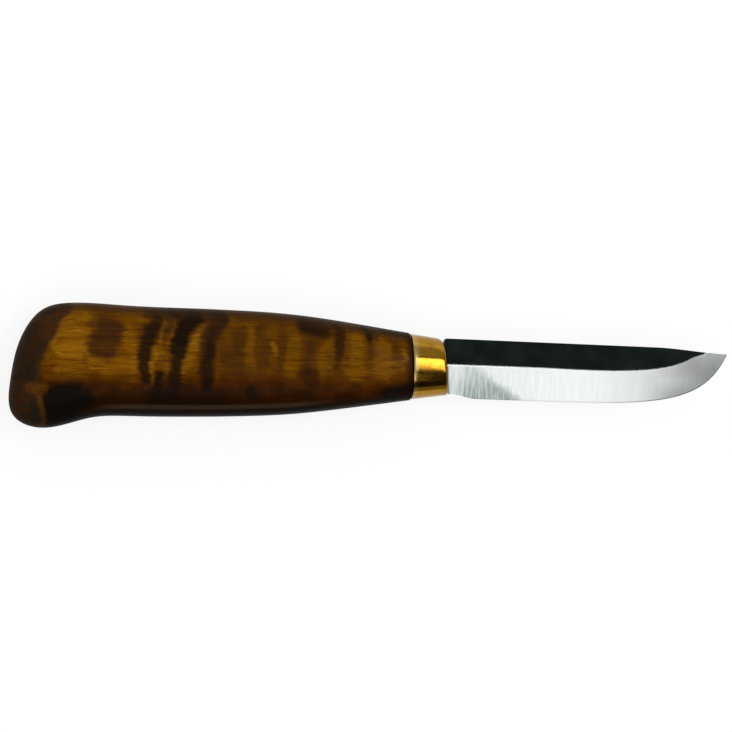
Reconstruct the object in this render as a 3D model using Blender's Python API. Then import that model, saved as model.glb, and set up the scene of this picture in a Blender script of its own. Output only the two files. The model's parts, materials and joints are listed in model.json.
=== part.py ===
"""Puukko knife: a forged blade with a hidden stick tang, a brass ferrule and a one-piece birch handle.

The knife lies on its side. +X runs towards the tip, +Y towards the spine and +Z up, in metres.
Each piece is drawn in the knife's own frame, whose origin is on the tang's axis at the ferrule's
front face, halfway through the blade. A parent empty then carries all four pieces, so that the
world origin lies on the surface under the middle of the knife.
"""

import math

import bmesh
import bpy
import numpy as np
from mathutils import Vector, geometry

# Fits between pieces
SEAT_GAP = 0.0003  # left between faces that seat on each other
ADHESIVE_WALL = 0.0006  # cured adhesive between the tang and the wood

# Blade, from its shoulder to its tip
BLADE_LENGTH = 0.0777
BLADE_THICKNESS = 0.0032
SPINE_RISE = 0.00775  # spine above the axis at the shoulder
SPINE_FALL = 0.00040  # how far the straight spine comes down before the clip
SPINE_CORNER = 0.0010  # radius of the spine's corner at the shoulder
CLIP_RUN = 0.0200  # length over which the spine dips to the tip
TIP_RISE = 0.0061  # tip above the axis
EDGE_DROP = 0.0085  # cutting edge below the axis
HEEL_DROP = 0.0074  # blunt heel below the axis
HEEL_START = 0.0008  # from the shoulder to where the heel starts to come down
HEEL_RUN = 0.0080  # length over which the heel comes down to the edge
BELLY_RUN = 0.0450  # length of the edge's upward curve to the tip
BELLY_PULL = 0.0288  # how long the curve keeps the straight edge's direction
TIP_PULL = 0.0137  # how long the curve keeps the tip's direction
TIP_ANGLE = math.radians(67)  # of the edge at the tip, from the axis
GRIND_ANGLE = math.radians(10.05)  # of each bevel, from the blade's middle plane
THINNING_END = 0.0065  # from the tip back to where the flats are thinnest
THINNING_RUN = 0.0455  # length over which they thin towards that place
EVEN_THINNING = 0.00025  # thickness lost evenly along that length
POINT_THINNING = 0.00100  # thickness lost mostly near its end
POINT_POWER = 17  # how late that second loss comes

# Tang, behind the shoulder
TANG_RISE = 0.0007  # middle of the tang above the axis, so that it leaves the thick of the blade
TANG_ROOT_HEIGHT = 0.0050
TANG_INSET = 0.0004  # how far each side of the root lies inside the blade's flat
TANG_END_HEIGHT = 0.0036
TANG_END_THICKNESS = 0.0019
TANG_CORNER = 0.0004  # radius of the tang's long edges
TANG_OVERLAP = 0.0010  # how far the tang runs into the blade, where they are one forging

# Ferrule, from its front face backwards; the collar is the joint between ferrule and wood
FERRULE_LENGTH = 0.0095
FERRULE_WALL = 0.0013
FERRULE_FRONT_WALL = 0.0018
NOSE_RISE = 0.0075  # top of the front end above the axis
NOSE_DROP = 0.0077  # bottom of the front end below the axis
NOSE_THICKNESS = 0.0136
NOSE_LEAN = 0.10  # how far the front face leans back for each unit of height
NOSE_TOP_RADIUS = 0.0015  # rounding of the front edge at the top
NOSE_LOW_RADIUS = 0.0005  # and at the bottom
RIM_CHAMFER = 0.00025  # broken edge of the rear rim
COLLAR_RISE = 0.0087
COLLAR_DROP = 0.0092
COLLAR_THICKNESS = 0.0160
COLLAR_LEAN = 0.048  # how far the joint leans back for each unit of height
COLLAR_FLAT = 0.0012  # width of the nearly flat crown there

# Handle, behind the collar
HANDLE_LENGTH = 0.1090
HANDLE_THICKNESS = 0.0198
WOOD_PROUD = 0.0002  # how far the wood stands out from the ferrule at the collar
BUTT_WOOD = 0.0290  # solid wood left behind the bore for the tang
SIDE_FLAT = 0.0076  # width of the flat that each side rests on
SIDE_RUN = 0.0150  # from the collar to where the sides reach full thickness
TAPER_RUN = 0.0230  # from the collar to the middle of the taper
TAPER_RISE = 0.0119
TAPER_DROP = 0.0132
SWELL_RUN = 0.0420  # from the collar to the start of the grip
SWELL_RISE = 0.0133
SWELL_DROP = 0.0152
GRIP_RUN = 0.0340  # from the butt to the rear of the grip
GRIP_RISE = 0.0136
GRIP_DROP = 0.0164
CREST_RUN = 0.0224  # from the butt to the crest of the back
CREST_RISE = 0.0140
NECK_RUN = 0.0215  # from the butt to the hollow in front of the beak
NECK_DROP = 0.01735
BEAK_RUN = 0.0097  # from the butt to the lowest point of the beak
BEAK_DROP = 0.02035
BACK_CORNER_RUN = 0.0060  # the rounded upper corner of the butt
BACK_CORNER_RISE = 0.0098
BACK_CORNER_LEAD = 0.0053  # from that corner forward to where the back starts to round over
BACK_CORNER_LIFT = 0.0034
FACE_RUN = 0.00205  # the sloping face of the butt
FACE_RISE = 0.0025
BUTT_DROP = 0.0082  # the rearmost point below the axis
TOE_RUN = 0.0011  # the tight lower corner of the butt
TOE_DROP = 0.0171
FOCUS_RUN = 0.0175  # from the butt to the point that its rounded end fans out from

# Section shapes, as superellipse exponents: 2 is an ellipse and more is squarer
COLLAR_EXPONENT = 2.25
GRIP_EXPONENT = 2.45
BUTT_EXPONENT = 2.1

# Mesh fineness
ARC_STEPS = 8  # along a quarter of an oval section
RING_POINTS = 4 * (ARC_STEPS + 1)
BODY_STEPS = 30  # along the handle
BUTT_STEPS = 20  # round the butt
CORNER_STEPS = 5  # round the ferrule's front edge
BELLY_STEPS = 26  # along the belly of the edge
EDGE_STEPS = 8  # along the straight edge
TANG_POINTS = 16  # round the tang
OUTLINE_STEPS = 1200  # points on which outlines are measured
SEARCH_STEP = 3e-7  # how closely the bevel's upper edge is found
STATION_DIGITS = 6  # decimals that tell two places along the blade apart
SHARP_ANGLE = math.radians(32)  # edges sharper than this stay crisp in shading

COLLAR_X = -FERRULE_LENGTH
SHOULDER_X = COLLAR_X - SEAT_GAP  # front of the wood, behind the ferrule's rim
TENON_X = -FERRULE_FRONT_WALL - SEAT_GAP  # front end of the tenon inside the ferrule
BUTT_X = COLLAR_X - HANDLE_LENGTH
FOCUS_X = BUTT_X + FOCUS_RUN
BLADE_X = SEAT_GAP  # the blade's shoulder, just in front of the ferrule
TIP_X = BLADE_X + BLADE_LENGTH
TANG_FIT = SEAT_GAP + ADHESIVE_WALL + SEAT_GAP  # tang to wood on each side
TANG_LENGTH = FERRULE_LENGTH + HANDLE_LENGTH - BUTT_WOOD - TANG_FIT


def smooth_path(nodes, steps):
    """Points along a natural cubic spline through the nodes, spaced by the root of each chord."""
    points = np.array(nodes, float)
    chords = np.sqrt(np.linalg.norm(np.diff(points, axis=0), axis=1))
    knots = np.concatenate([[0.0], np.cumsum(chords)])
    count = len(points)
    system = np.eye(count)
    right = np.zeros_like(points)
    for i in range(1, count - 1):
        before, after = chords[i - 1], chords[i]
        system[i, i - 1 : i + 2] = before, 2 * (before + after), after
        right[i] = 6 * ((points[i + 1] - points[i]) / after - (points[i] - points[i - 1]) / before)
    bend = np.linalg.solve(system, right)
    found = []
    for t in np.linspace(0.0, knots[-1], steps):
        i = min(max(int(np.searchsorted(knots, t)) - 1, 0), count - 2)
        width = chords[i]
        a, b = (knots[i + 1] - t) / width, (t - knots[i]) / width
        curve = ((a**3 - a) * bend[i] + (b**3 - b) * bend[i + 1]) * width**2 / 6
        found.append(a * points[i] + b * points[i + 1] + curve)
    return np.array(found)


def smooth_step(t):
    """0 before 0, 1 after 1, and a smooth rise between."""
    t = min(max(t, 0.0), 1.0)
    return t * t * (3 - 2 * t)


def between(low, high, share):
    return low + (high - low) * share


def oval_arc(flat_share, exponent):
    """A quarter section as (reach, height) pairs, from the outline up to the crown.

    Reach 1 is the outline and 0 the crown line; height 1 is the full half thickness.
    """
    pairs = []
    for i in range(ARC_STEPS + 1):
        angle = math.pi / 2 * i / ARC_STEPS
        reach = max(math.cos(angle), 0.0) ** (2 / exponent)
        height = math.sin(angle) ** (2 / exponent)
        pairs.append((between(flat_share, 1.0, reach), height))
    return pairs + [(0.0, 1.0)]


def oval_ring(x, rise, drop, half_thickness, flat, exponent):
    """A closed oval across the axis at x, from rise above it to drop below it."""
    crown = (rise - drop) / 2
    half_height = (rise + drop) / 2
    quarter = oval_arc(flat / 2 / half_height, exponent)
    ring = []
    for side in (1, -1):
        upper = [(x, crown + side * half_height * r, side * half_thickness * h) for r, h in quarter]
        lower = [(x, crown - side * half_height * r, side * half_thickness * h) for r, h in quarter]
        ring += upper + lower[-2:0:-1]
    return ring


def bar_ring(x, middle, half_height, half_width, radius, points):
    """A closed rounded rectangle across the axis at x, with its middle that far above it."""
    per_corner = points // 4
    ring = []
    for corner in range(4):
        across = 1 if corner in (0, 3) else -1
        up = 1 if corner in (0, 1) else -1
        for i in range(per_corner):
            angle = math.pi / 2 * (1 - corner - i / (per_corner - 1))
            y = middle + across * (half_height - radius) + radius * math.sin(angle)
            z = up * (half_width - radius) + radius * math.cos(angle)
            ring.append((x, y, z))
    return ring


def add_ring(mesh, ring):
    return [mesh.verts.new(point) for point in ring]


def join_rings(mesh, first, second):
    """Faces between two rows of points; a point that both rows or both ends share makes a triangle."""
    count = len(first)
    for i in range(count):
        corners = [first[i], first[(i + 1) % count], second[(i + 1) % count], second[i]]
        distinct = list(dict.fromkeys(corners))
        if len(distinct) > 2:
            mesh.faces.new(distinct)


def skin(mesh, rings):
    """Faces along a row of rings, with both ends left open."""
    rows = [add_ring(mesh, ring) for ring in rings]
    for first, second in zip(rows, rows[1:]):
        join_rings(mesh, first, second)
    return rows


def loft(mesh, rings, closed=False):
    """Skins a row of rings, capping both ends unless the row closes on itself."""
    rows = skin(mesh, rings)
    if closed:
        join_rings(mesh, rows[-1], rows[0])
    else:
        mesh.faces.new(rows[0])
        mesh.faces.new(rows[-1])


def make_object(name, mesh, material):
    """Turns a bmesh into a named object with outward faces, smooth where it is round."""
    bmesh.ops.recalc_face_normals(mesh, faces=mesh.faces)
    data = bpy.data.meshes.new(name)
    mesh.to_mesh(data)
    mesh.free()
    data.shade_smooth()
    data.set_sharp_from_angle(angle=SHARP_ANGLE)
    data.materials.append(material)
    piece = bpy.data.objects.new(name, data)
    bpy.context.scene.collection.objects.link(piece)
    return piece


def make_material(name, colour, roughness, metallic):
    material = bpy.data.materials.new(name)
    material.use_nodes = True
    shader = material.node_tree.nodes["Principled BSDF"]
    shader.inputs["Base Color"].default_value = (*colour, 1.0)
    shader.inputs["Roughness"].default_value = roughness
    shader.inputs["Metallic"].default_value = metallic
    return material


def leaned(ring, lean):
    """The same ring with its upper side leaning back and its lower side forward."""
    return [(x - lean * y, y, z) for x, y, z in ring]


def ferrule_share(x):
    """0 at the collar and 1 at the ferrule's front face."""
    return (x - COLLAR_X) / FERRULE_LENGTH


def ferrule_lean(x):
    return between(COLLAR_LEAN, NOSE_LEAN, ferrule_share(x))


def tapered_oval(x, top_inset, low_inset):
    """An oval of the ferrule's tapering outside at x, drawn in by as much at its top and bottom."""
    share = ferrule_share(x)
    rise = between(COLLAR_RISE, NOSE_RISE, share) - top_inset
    drop = between(COLLAR_DROP, NOSE_DROP, share) - low_inset
    thickness = between(COLLAR_THICKNESS, NOSE_THICKNESS, share) - top_inset - low_inset
    return oval_ring(x, rise, drop, thickness / 2, COLLAR_FLAT, COLLAR_EXPONENT)


def ferrule_ring(x, inset):
    """The ferrule's section at x, drawn in by inset all round."""
    return leaned(tapered_oval(x, inset, inset), ferrule_lean(x))


def nose_ring(angle):
    """One ring round the ferrule's front edge, from the face at 90 degrees to the side at 0."""
    set_back, inset = 1 - math.sin(angle), 1 - math.cos(angle)
    x = -(NOSE_TOP_RADIUS + NOSE_LOW_RADIUS) / 2 * set_back
    ring = tapered_oval(x, NOSE_TOP_RADIUS * inset, NOSE_LOW_RADIUS * inset)
    rounding_lean = (NOSE_TOP_RADIUS - NOSE_LOW_RADIUS) * set_back / (NOSE_RISE + NOSE_DROP)
    return leaned(ring, ferrule_lean(x) + rounding_lean)


def tang_ring(x, margin, points=RING_POINTS):
    """The tang's section at x, let out by margin all round. Past either end the taper runs on."""
    share = -x / TANG_LENGTH
    half_height = between(TANG_ROOT_HEIGHT, TANG_END_HEIGHT, share) / 2
    half_width = between(BLADE_THICKNESS - 2 * TANG_INSET, TANG_END_THICKNESS, share) / 2
    radius = TANG_CORNER + margin
    return bar_ring(x, TANG_RISE, half_height + margin, half_width + margin, radius, points)


def slot_ring(x, margin):
    """The tang's section let out by margin, leaning with the ferrule's front wall."""
    return leaned(tang_ring(x, margin), ferrule_lean(x))


def spine_path():
    """The spine's outline from the shoulder to the tip, with its rounded corner."""
    clip_x = TIP_X - CLIP_RUN
    fall = SPINE_FALL / (clip_x - BLADE_X)
    corner_x = BLADE_X + SPINE_CORNER
    corner_y = SPINE_RISE - fall * SPINE_CORNER
    path = []
    for i in range(CORNER_STEPS):
        angle = math.pi / 2 * i / CORNER_STEPS
        x = corner_x - SPINE_CORNER * math.cos(angle)
        path.append((x, corner_y - SPINE_CORNER * (1 - math.sin(angle))))
    path.append((corner_x, corner_y))
    start = Vector((clip_x, SPINE_RISE - SPINE_FALL))
    tip = Vector((TIP_X, TIP_RISE))
    pull = Vector((CLIP_RUN / 3, -fall * CLIP_RUN / 3))
    clip = geometry.interpolate_bezier(start, start + pull, tip - pull, tip, BELLY_STEPS)
    return np.array(path + [tuple(p) for p in clip])


def grind_path():
    """The line where the two bevels meet: straight, then up the belly to the tip."""
    belly_x = TIP_X - BELLY_RUN
    start = Vector((belly_x, -EDGE_DROP))
    tip = Vector((TIP_X, TIP_RISE))
    along = Vector((math.cos(TIP_ANGLE), math.sin(TIP_ANGLE)))
    pull = Vector((BELLY_PULL, 0.0))
    belly = geometry.interpolate_bezier(start, start + pull, tip - along * TIP_PULL, tip, BELLY_STEPS)
    return np.array([(BLADE_X, -EDGE_DROP)] + [tuple(p) for p in belly])


def distance_to(path, x, y):
    """Shortest distance from a point to a path of straight pieces."""
    point = np.array((x, y))
    start, along = path[:-1], np.diff(path, axis=0)
    share = np.clip(((point - start) * along).sum(1) / (along**2).sum(1), 0.0, 1.0)
    return np.linalg.norm(start + along * share[:, None] - point, axis=1).min()


def flat_half_thickness(x):
    """Half the distance between the blade's two flats at x."""
    start = TIP_X - THINNING_END - THINNING_RUN
    share = min(max((x - start) / THINNING_RUN, 0.0), 1.0)
    return (BLADE_THICKNESS - EVEN_THINNING * share - POINT_THINNING * share**POINT_POWER) / 2


def bevel_corner(x, spine_y, grind):
    """(y, half thickness) where the bevel leaves the flat at x, or where it runs out at the spine."""
    slope = math.tan(GRIND_ANGLE)
    flat = flat_half_thickness(x)
    at_spine = slope * distance_to(grind, x, spine_y)
    if at_spine <= flat:
        return spine_y, at_spine
    low, high = -EDGE_DROP, spine_y
    while high - low > SEARCH_STEP:
        middle = (low + high) / 2
        if slope * distance_to(grind, x, middle) < flat:
            low = middle
        else:
            high = middle
    return high, flat


def blade_section(mesh, x, spine, grind):
    """One row of six points across the blade: spine, bevel corner and edge on each side."""
    spine_y = np.interp(x, spine[:, 0], spine[:, 1])
    grind_y = np.interp(x, grind[:, 0], grind[:, 1])
    heel_lift = (EDGE_DROP - HEEL_DROP) * (1 - smooth_step((x - BLADE_X - HEEL_START) / HEEL_RUN))
    edge_half = math.tan(GRIND_ANGLE) * max(heel_lift, 0.0)
    corner_y, corner_half = bevel_corner(x, spine_y, grind)
    spine_half = min(flat_half_thickness(x), corner_half)
    runs_out = corner_y >= spine_y
    lean = NOSE_LEAN * (1 - smooth_step((x - BLADE_X) / (HEEL_START + HEEL_RUN)))
    halves = [(x, spine_y, spine_half), (x, corner_y, corner_half), (x, grind_y + heel_lift, edge_half)]
    halves = [Vector(half) for half in leaned(halves, lean)]
    sides = []
    for side in (1, -1):
        top_at, corner_at, low_at = [half * Vector((1, 1, side)) for half in halves]
        top = mesh.verts.new(top_at)
        corner = top if runs_out else mesh.verts.new(corner_at)
        if side == 1 or edge_half > 0:
            low = mesh.verts.new(low_at)
        sides.append([top, corner, low])
    return sides[0] + sides[1][::-1]


def bevel_end(spine, grind):
    """Where along the blade the bevel reaches the spine."""
    low, high = TIP_X - BELLY_RUN, TIP_X
    while high - low > SEARCH_STEP:
        middle = (low + high) / 2
        spine_y = np.interp(middle, spine[:, 0], spine[:, 1])
        if bevel_corner(middle, spine_y, grind)[0] >= spine_y:
            high = middle
        else:
            low = middle
    return high


def blade_stations(spine, grind):
    """Places along the blade that its sections are cut at, closer where it curves."""
    heel_end = BLADE_X + HEEL_START + HEEL_RUN
    heel = np.linspace(BLADE_X + HEEL_START, heel_end, EDGE_STEPS)
    straight = np.linspace(heel_end, TIP_X - BELLY_RUN, EDGE_STEPS)
    corner = spine[: CORNER_STEPS + 1, 0]
    belly = grind[1:-1, 0]
    places = np.concatenate([corner, heel, straight, belly, [bevel_end(spine, grind)]])
    return np.unique(np.round(places, STATION_DIGITS))


def make_blade(steel):
    """Blade and tang, one forging: the tang is joined into the middle of the blade's shoulder."""
    spine, grind = spine_path(), grind_path()
    mesh = bmesh.new()
    rows = [blade_section(mesh, x, spine, grind) for x in blade_stations(spine, grind)]
    for first, second in zip(rows, rows[1:]):
        join_rings(mesh, first, second)
    mesh.faces.new(dict.fromkeys(rows[0]))
    tip = mesh.verts.new((TIP_X, TIP_RISE, 0.0))
    join_rings(mesh, rows[-1], [tip] * len(rows[-1]))
    blade = make_object("blade", mesh, steel)

    mesh = bmesh.new()
    ends = (-TANG_LENGTH, BLADE_X + TANG_OVERLAP)
    loft(mesh, [tang_ring(x, 0.0, TANG_POINTS) for x in ends])
    tang = make_object("tang_joined_to_blade", mesh, steel)
    tang.hide_render = True
    tang.display_type = "WIRE"
    joined = blade.modifiers.new("forged_in_one", "BOOLEAN")
    joined.operation = "UNION"
    joined.object = tang
    return [blade, tang]


def make_ferrule(brass):
    """A brass cup over the front of the handle, with a slot for the tang in its front wall."""
    rings = [slot_ring(0.0, SEAT_GAP)]
    for i in range(CORNER_STEPS + 1):
        rings.append(nose_ring(math.pi / 2 * (1 - i / CORNER_STEPS)))
    rings.append(ferrule_ring(COLLAR_X + RIM_CHAMFER, 0.0))
    rings.append(ferrule_ring(COLLAR_X, RIM_CHAMFER))
    rings.append(ferrule_ring(COLLAR_X, FERRULE_WALL))
    rings.append(ferrule_ring(-FERRULE_FRONT_WALL, FERRULE_WALL))
    rings.append(slot_ring(-FERRULE_FRONT_WALL, SEAT_GAP))
    mesh = bmesh.new()
    loft(mesh, rings, closed=True)
    return make_object("ferrule", mesh, brass)


def make_adhesive(resin):
    """The cured adhesive: a sleeve round the tang, closed behind its end."""
    outer, inner = SEAT_GAP + ADHESIVE_WALL, SEAT_GAP
    rings = [
        tang_ring(-TANG_LENGTH - outer, outer),
        slot_ring(TENON_X, outer),
        slot_ring(TENON_X, inner),
        tang_ring(-TANG_LENGTH - inner, inner),
    ]
    mesh = bmesh.new()
    loft(mesh, rings)
    return make_object("tang_adhesive", mesh, resin)


def handle_outline():
    """The handle's side view, from the top of the collar round the butt to its bottom."""
    corner_x = BUTT_X + BACK_CORNER_RUN
    nodes = [
        (COLLAR_X, COLLAR_RISE + WOOD_PROUD),
        (COLLAR_X - TAPER_RUN, TAPER_RISE),
        (COLLAR_X - SWELL_RUN, SWELL_RISE),
        (BUTT_X + GRIP_RUN, GRIP_RISE),
        (BUTT_X + CREST_RUN, CREST_RISE),
        (corner_x + BACK_CORNER_LEAD, BACK_CORNER_RISE + BACK_CORNER_LIFT),
        (corner_x, BACK_CORNER_RISE),
        (BUTT_X + FACE_RUN, FACE_RISE),
        (BUTT_X, -BUTT_DROP),
        (BUTT_X + TOE_RUN, -TOE_DROP),
        (BUTT_X + BEAK_RUN, -BEAK_DROP),
        (BUTT_X + NECK_RUN, -NECK_DROP),
        (BUTT_X + GRIP_RUN, -GRIP_DROP),
        (COLLAR_X - SWELL_RUN, -SWELL_DROP),
        (COLLAR_X - TAPER_RUN, -TAPER_DROP),
        (COLLAR_X, -COLLAR_DROP - WOOD_PROUD),
    ]
    return smooth_path(nodes, OUTLINE_STEPS)


def crossing(path, x):
    """Height at which a branch of the outline passes x."""
    order = np.argsort(path[:, 0])
    return np.interp(x, path[order, 0], path[order, 1])


def handle_half_thickness(x):
    """Half the handle's thickness at x: it leaves the collar in line with the ferrule's taper."""
    share = min((COLLAR_X - x) / SIDE_RUN, 1.0)
    start, end = COLLAR_THICKNESS / 2 + WOOD_PROUD, HANDLE_THICKNESS / 2
    lead = (COLLAR_THICKNESS - NOSE_THICKNESS) / 2 / FERRULE_LENGTH * SIDE_RUN
    return between(start, end, smooth_step(share)) + lead * share * (1 - share) ** 2


def handle_ring(x, upper, lower):
    """The handle's section at x."""
    share = smooth_step((COLLAR_X - x) / SIDE_RUN)
    flat = between(COLLAR_FLAT, SIDE_FLAT, share)
    exponent = between(COLLAR_EXPONENT, GRIP_EXPONENT, share)
    half_thickness = handle_half_thickness(x)
    ring = oval_ring(x, crossing(upper, x), -crossing(lower, x), half_thickness, flat, exponent)
    return leaned(ring, COLLAR_LEAN * (1 - share))


def skin_butt(mesh, last_ring, end_outline):
    """Rounds off the butt: arcs over the outline's end, all from the last section's two crowns."""
    half = len(last_ring) // 2
    crown = {1: last_ring[ARC_STEPS + 1], -1: last_ring[half + ARC_STEPS + 1]}
    focus = crown[1].co.copy()
    half_thickness = focus.z
    focus.z = 0.0
    top_arc = last_ring[ARC_STEPS + 1 :: -1] + last_ring[: half + ARC_STEPS : -1]
    low_arc = last_ring[ARC_STEPS + 1 : half + ARC_STEPS + 2]
    arcs = [top_arc]
    for step, (x, y) in enumerate(end_outline[1:-1], start=1):
        out = Vector((x, y, 0.0)) - focus
        middle = math.sin(math.pi * step / (len(end_outline) - 1))
        exponent = between(GRIP_EXPONENT, BUTT_EXPONENT, middle)
        quarter = oval_arc(SIDE_FLAT / 2 / out.length, exponent)[:-1]
        upper = [focus + out * r + Vector((0, 0, half_thickness * h)) for r, h in quarter[::-1]]
        lower = [focus + out * r - Vector((0, 0, half_thickness * h)) for r, h in quarter[1:]]
        arcs.append([crown[1], *add_ring(mesh, upper + lower), crown[-1]])
    arcs.append(low_arc)
    for first, second in zip(arcs, arcs[1:]):
        for i in range(len(first) - 1):
            corners = [first[i], first[i + 1], second[i + 1], second[i]]
            mesh.faces.new(dict.fromkeys(corners))


def evenly_along(path, count):
    """As many points as asked for, evenly spaced along a path, both ends among them."""
    lengths = np.concatenate([[0.0], np.cumsum(np.linalg.norm(np.diff(path, axis=0), axis=1))])
    places = np.linspace(0.0, lengths[-1], count)
    return np.stack([np.interp(places, lengths, path[:, k]) for k in (0, 1)], axis=1)


def make_handle(wood, outline):
    """The birch handle: bored for the tang, with a tenon inside the ferrule and a rounded butt."""
    rear = int(outline[:, 0].argmin())
    upper, lower = outline[: rear + 1], outline[rear:]
    bore_end = -TANG_LENGTH - TANG_FIT
    rings = [
        tang_ring(bore_end, TANG_FIT),
        slot_ring(TENON_X, TANG_FIT),
        ferrule_ring(TENON_X, FERRULE_WALL + SEAT_GAP),
        ferrule_ring(SHOULDER_X, FERRULE_WALL + SEAT_GAP),
    ]
    rings += [handle_ring(x, upper, lower) for x in np.linspace(SHOULDER_X, FOCUS_X, BODY_STEPS)]
    mesh = bmesh.new()
    rows = skin(mesh, rings)
    mesh.faces.new(rows[0])
    top, bottom = (FOCUS_X, crossing(upper, FOCUS_X)), (FOCUS_X, crossing(lower, FOCUS_X))
    behind = outline[outline[:, 0] < FOCUS_X]
    end_outline = evenly_along(np.vstack([top, behind, bottom]), BUTT_STEPS + 1)
    skin_butt(mesh, rows[-1], end_outline)
    return make_object("handle", mesh, wood)


def main():
    for old in list(bpy.data.objects):
        bpy.data.objects.remove(old)
    steel = make_material("forged_steel", (0.17, 0.18, 0.18), 0.38, 1.0)
    brass = make_material("brass", (0.62, 0.42, 0.11), 0.24, 1.0)
    wood = make_material("stained_curly_birch", (0.14, 0.065, 0.012), 0.3, 0.0)
    resin = make_material("clear_resin", (0.55, 0.42, 0.2), 0.35, 0.0)
    outline = handle_outline()
    pieces = make_blade(steel)
    pieces += [make_ferrule(brass), make_adhesive(resin), make_handle(wood, outline)]
    knife = bpy.data.objects.new("puukko", None)
    bpy.context.scene.collection.objects.link(knife)
    low_y = outline[:, 1].min()
    high_y = outline[:, 1].max()
    middle_x = (outline[:, 0].min() + TIP_X) / 2
    knife.location = (-middle_x, -(low_y + high_y) / 2, HANDLE_THICKNESS / 2)
    for piece in pieces:
        piece.parent = knife


main()
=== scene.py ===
# %% [markdown]
# # A puukko knife, dressed for its portrait
#
# A puukko is a small northern belt knife. A short blade is forged with a thin tang behind it, the
# tang runs through a brass ferrule into a birch handle, and resin holds it there. The solid model
# already has the right sizes and fits. This lesson keeps that model as its frame, builds the three
# visible pieces again with a finer skin, and gives each one the finish that a maker would.
#
# The first step loads the frame, and a helper reads the box of any of its solids.

# %% Load the solid model
import json
import math

import bmesh
import bpy
import numpy as np
from mathutils import Matrix, Vector, geometry, noise

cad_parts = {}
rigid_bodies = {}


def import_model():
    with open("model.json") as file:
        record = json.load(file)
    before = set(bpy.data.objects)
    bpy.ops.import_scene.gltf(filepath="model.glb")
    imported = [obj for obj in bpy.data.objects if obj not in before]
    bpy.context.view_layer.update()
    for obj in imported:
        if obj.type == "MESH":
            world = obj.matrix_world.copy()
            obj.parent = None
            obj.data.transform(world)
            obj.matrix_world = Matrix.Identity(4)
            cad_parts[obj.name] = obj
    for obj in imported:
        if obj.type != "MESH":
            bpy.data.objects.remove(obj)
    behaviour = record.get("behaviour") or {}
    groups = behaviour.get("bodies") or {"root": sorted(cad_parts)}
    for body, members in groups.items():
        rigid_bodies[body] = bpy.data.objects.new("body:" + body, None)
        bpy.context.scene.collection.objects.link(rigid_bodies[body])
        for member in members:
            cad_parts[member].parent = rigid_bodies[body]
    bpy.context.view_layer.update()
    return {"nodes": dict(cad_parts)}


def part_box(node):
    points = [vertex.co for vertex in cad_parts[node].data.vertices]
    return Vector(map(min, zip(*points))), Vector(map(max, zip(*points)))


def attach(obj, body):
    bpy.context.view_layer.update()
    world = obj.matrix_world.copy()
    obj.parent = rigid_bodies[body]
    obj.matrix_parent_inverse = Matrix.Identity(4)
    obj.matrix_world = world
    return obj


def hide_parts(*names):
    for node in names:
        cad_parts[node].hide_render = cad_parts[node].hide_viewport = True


for leftover in list(bpy.data.objects):
    bpy.data.objects.remove(leftover)
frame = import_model()

# %% [markdown]
# All sizes below are in millimetres, as on a maker's drawing. They are measured from one point: on
# the tang's axis, at the ferrule's front face, halfway through the blade. +X runs to the tip, +Y to
# the spine and +Z up. Where that point lies in the frame is read from the solids themselves, so the
# new pieces fall exactly where the old ones are.

# %% Find the knife's own origin
MM = 0.001
SEAT_GAP = 0.3  # left between faces that seat on each other
BLADE_LENGTH = 77.7
EDGE_DROP = 8.5  # cutting edge below the axis
BLADE_X = SEAT_GAP
TIP_X = BLADE_X + BLADE_LENGTH
blade_low, blade_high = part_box("blade")
knife_place = Vector(
    (
        blade_high.x - TIP_X * MM,
        blade_low.y + EDGE_DROP * MM,
        (blade_low.z + blade_high.z) / 2,
    )
)
print("knife origin in the frame:", tuple(knife_place))

# %% [markdown]
# ## The camera
#
# The knife lies on its side and is seen almost from straight above, from a little way towards the
# butt: the ferrule's straight rim shows as a shallow bow. A long lens keeps both ends at nearly the
# same scale. The camera's three axes are written out as a matrix, because a roll of two degrees is
# easier to state that way than through angles.

# %% Set up the camera
CAMERA_LENS = 300.0
SENSOR_WIDTH = 36.0
VIEW_WIDTH = 199.4  # width of the picture at the middle of the blade's thickness
CAMERA_TILT = math.radians(7.0)
CAMERA_ROLL = math.radians(2.0)
AIM = Vector((-21.62, -0.53, 0.0))  # middle of the picture, on the knife

camera_data = bpy.data.cameras.new("portrait_camera")
camera_data.lens = CAMERA_LENS
camera_data.sensor_width = SENSOR_WIDTH
camera = bpy.data.objects.new("portrait_camera", camera_data)
bpy.context.scene.collection.objects.link(camera)
bpy.context.scene.camera = camera

back = Vector((-math.sin(CAMERA_TILT), 0.0, math.cos(CAMERA_TILT)))
level = Vector((math.cos(CAMERA_TILT), 0.0, math.sin(CAMERA_TILT)))
upright = Vector((0.0, 1.0, 0.0))
right = level * math.cos(CAMERA_ROLL) + upright * math.sin(CAMERA_ROLL)
up = upright * math.cos(CAMERA_ROLL) - level * math.sin(CAMERA_ROLL)
camera_distance = VIEW_WIDTH * CAMERA_LENS / SENSOR_WIDTH * MM
stand = knife_place + AIM * MM + back * camera_distance
turn = Matrix((right, up, back)).transposed().to_4x4()
camera.matrix_world = Matrix.Translation(stand) @ turn
bpy.context.scene.view_settings.view_transform = "Standard"
print(f"camera {camera_distance:.3f} m from the knife")

# %% [markdown]
# ## Shape helpers
#
# Handle, ferrule and tang are all lofts: closed rings across the axis, skinned one after the other.
# A wooden handle is not a true ellipse, so a ring is a superellipse, whose exponent makes it rounder
# or squarer. Each ring has the same number of points, in the same order, so two neighbours always
# join into clean four-sided faces.

# %% Rings and skins
ARC_STEPS = 24  # along a quarter of an oval
RING_POINTS = 4 * (ARC_STEPS + 1)


def between(low, high, share):
    return low + (high - low) * share


def smooth_step(t):
    """0 before 0, 1 after 1, and a smooth rise between."""
    t = min(max(t, 0.0), 1.0)
    return t * t * (3 - 2 * t)


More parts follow.
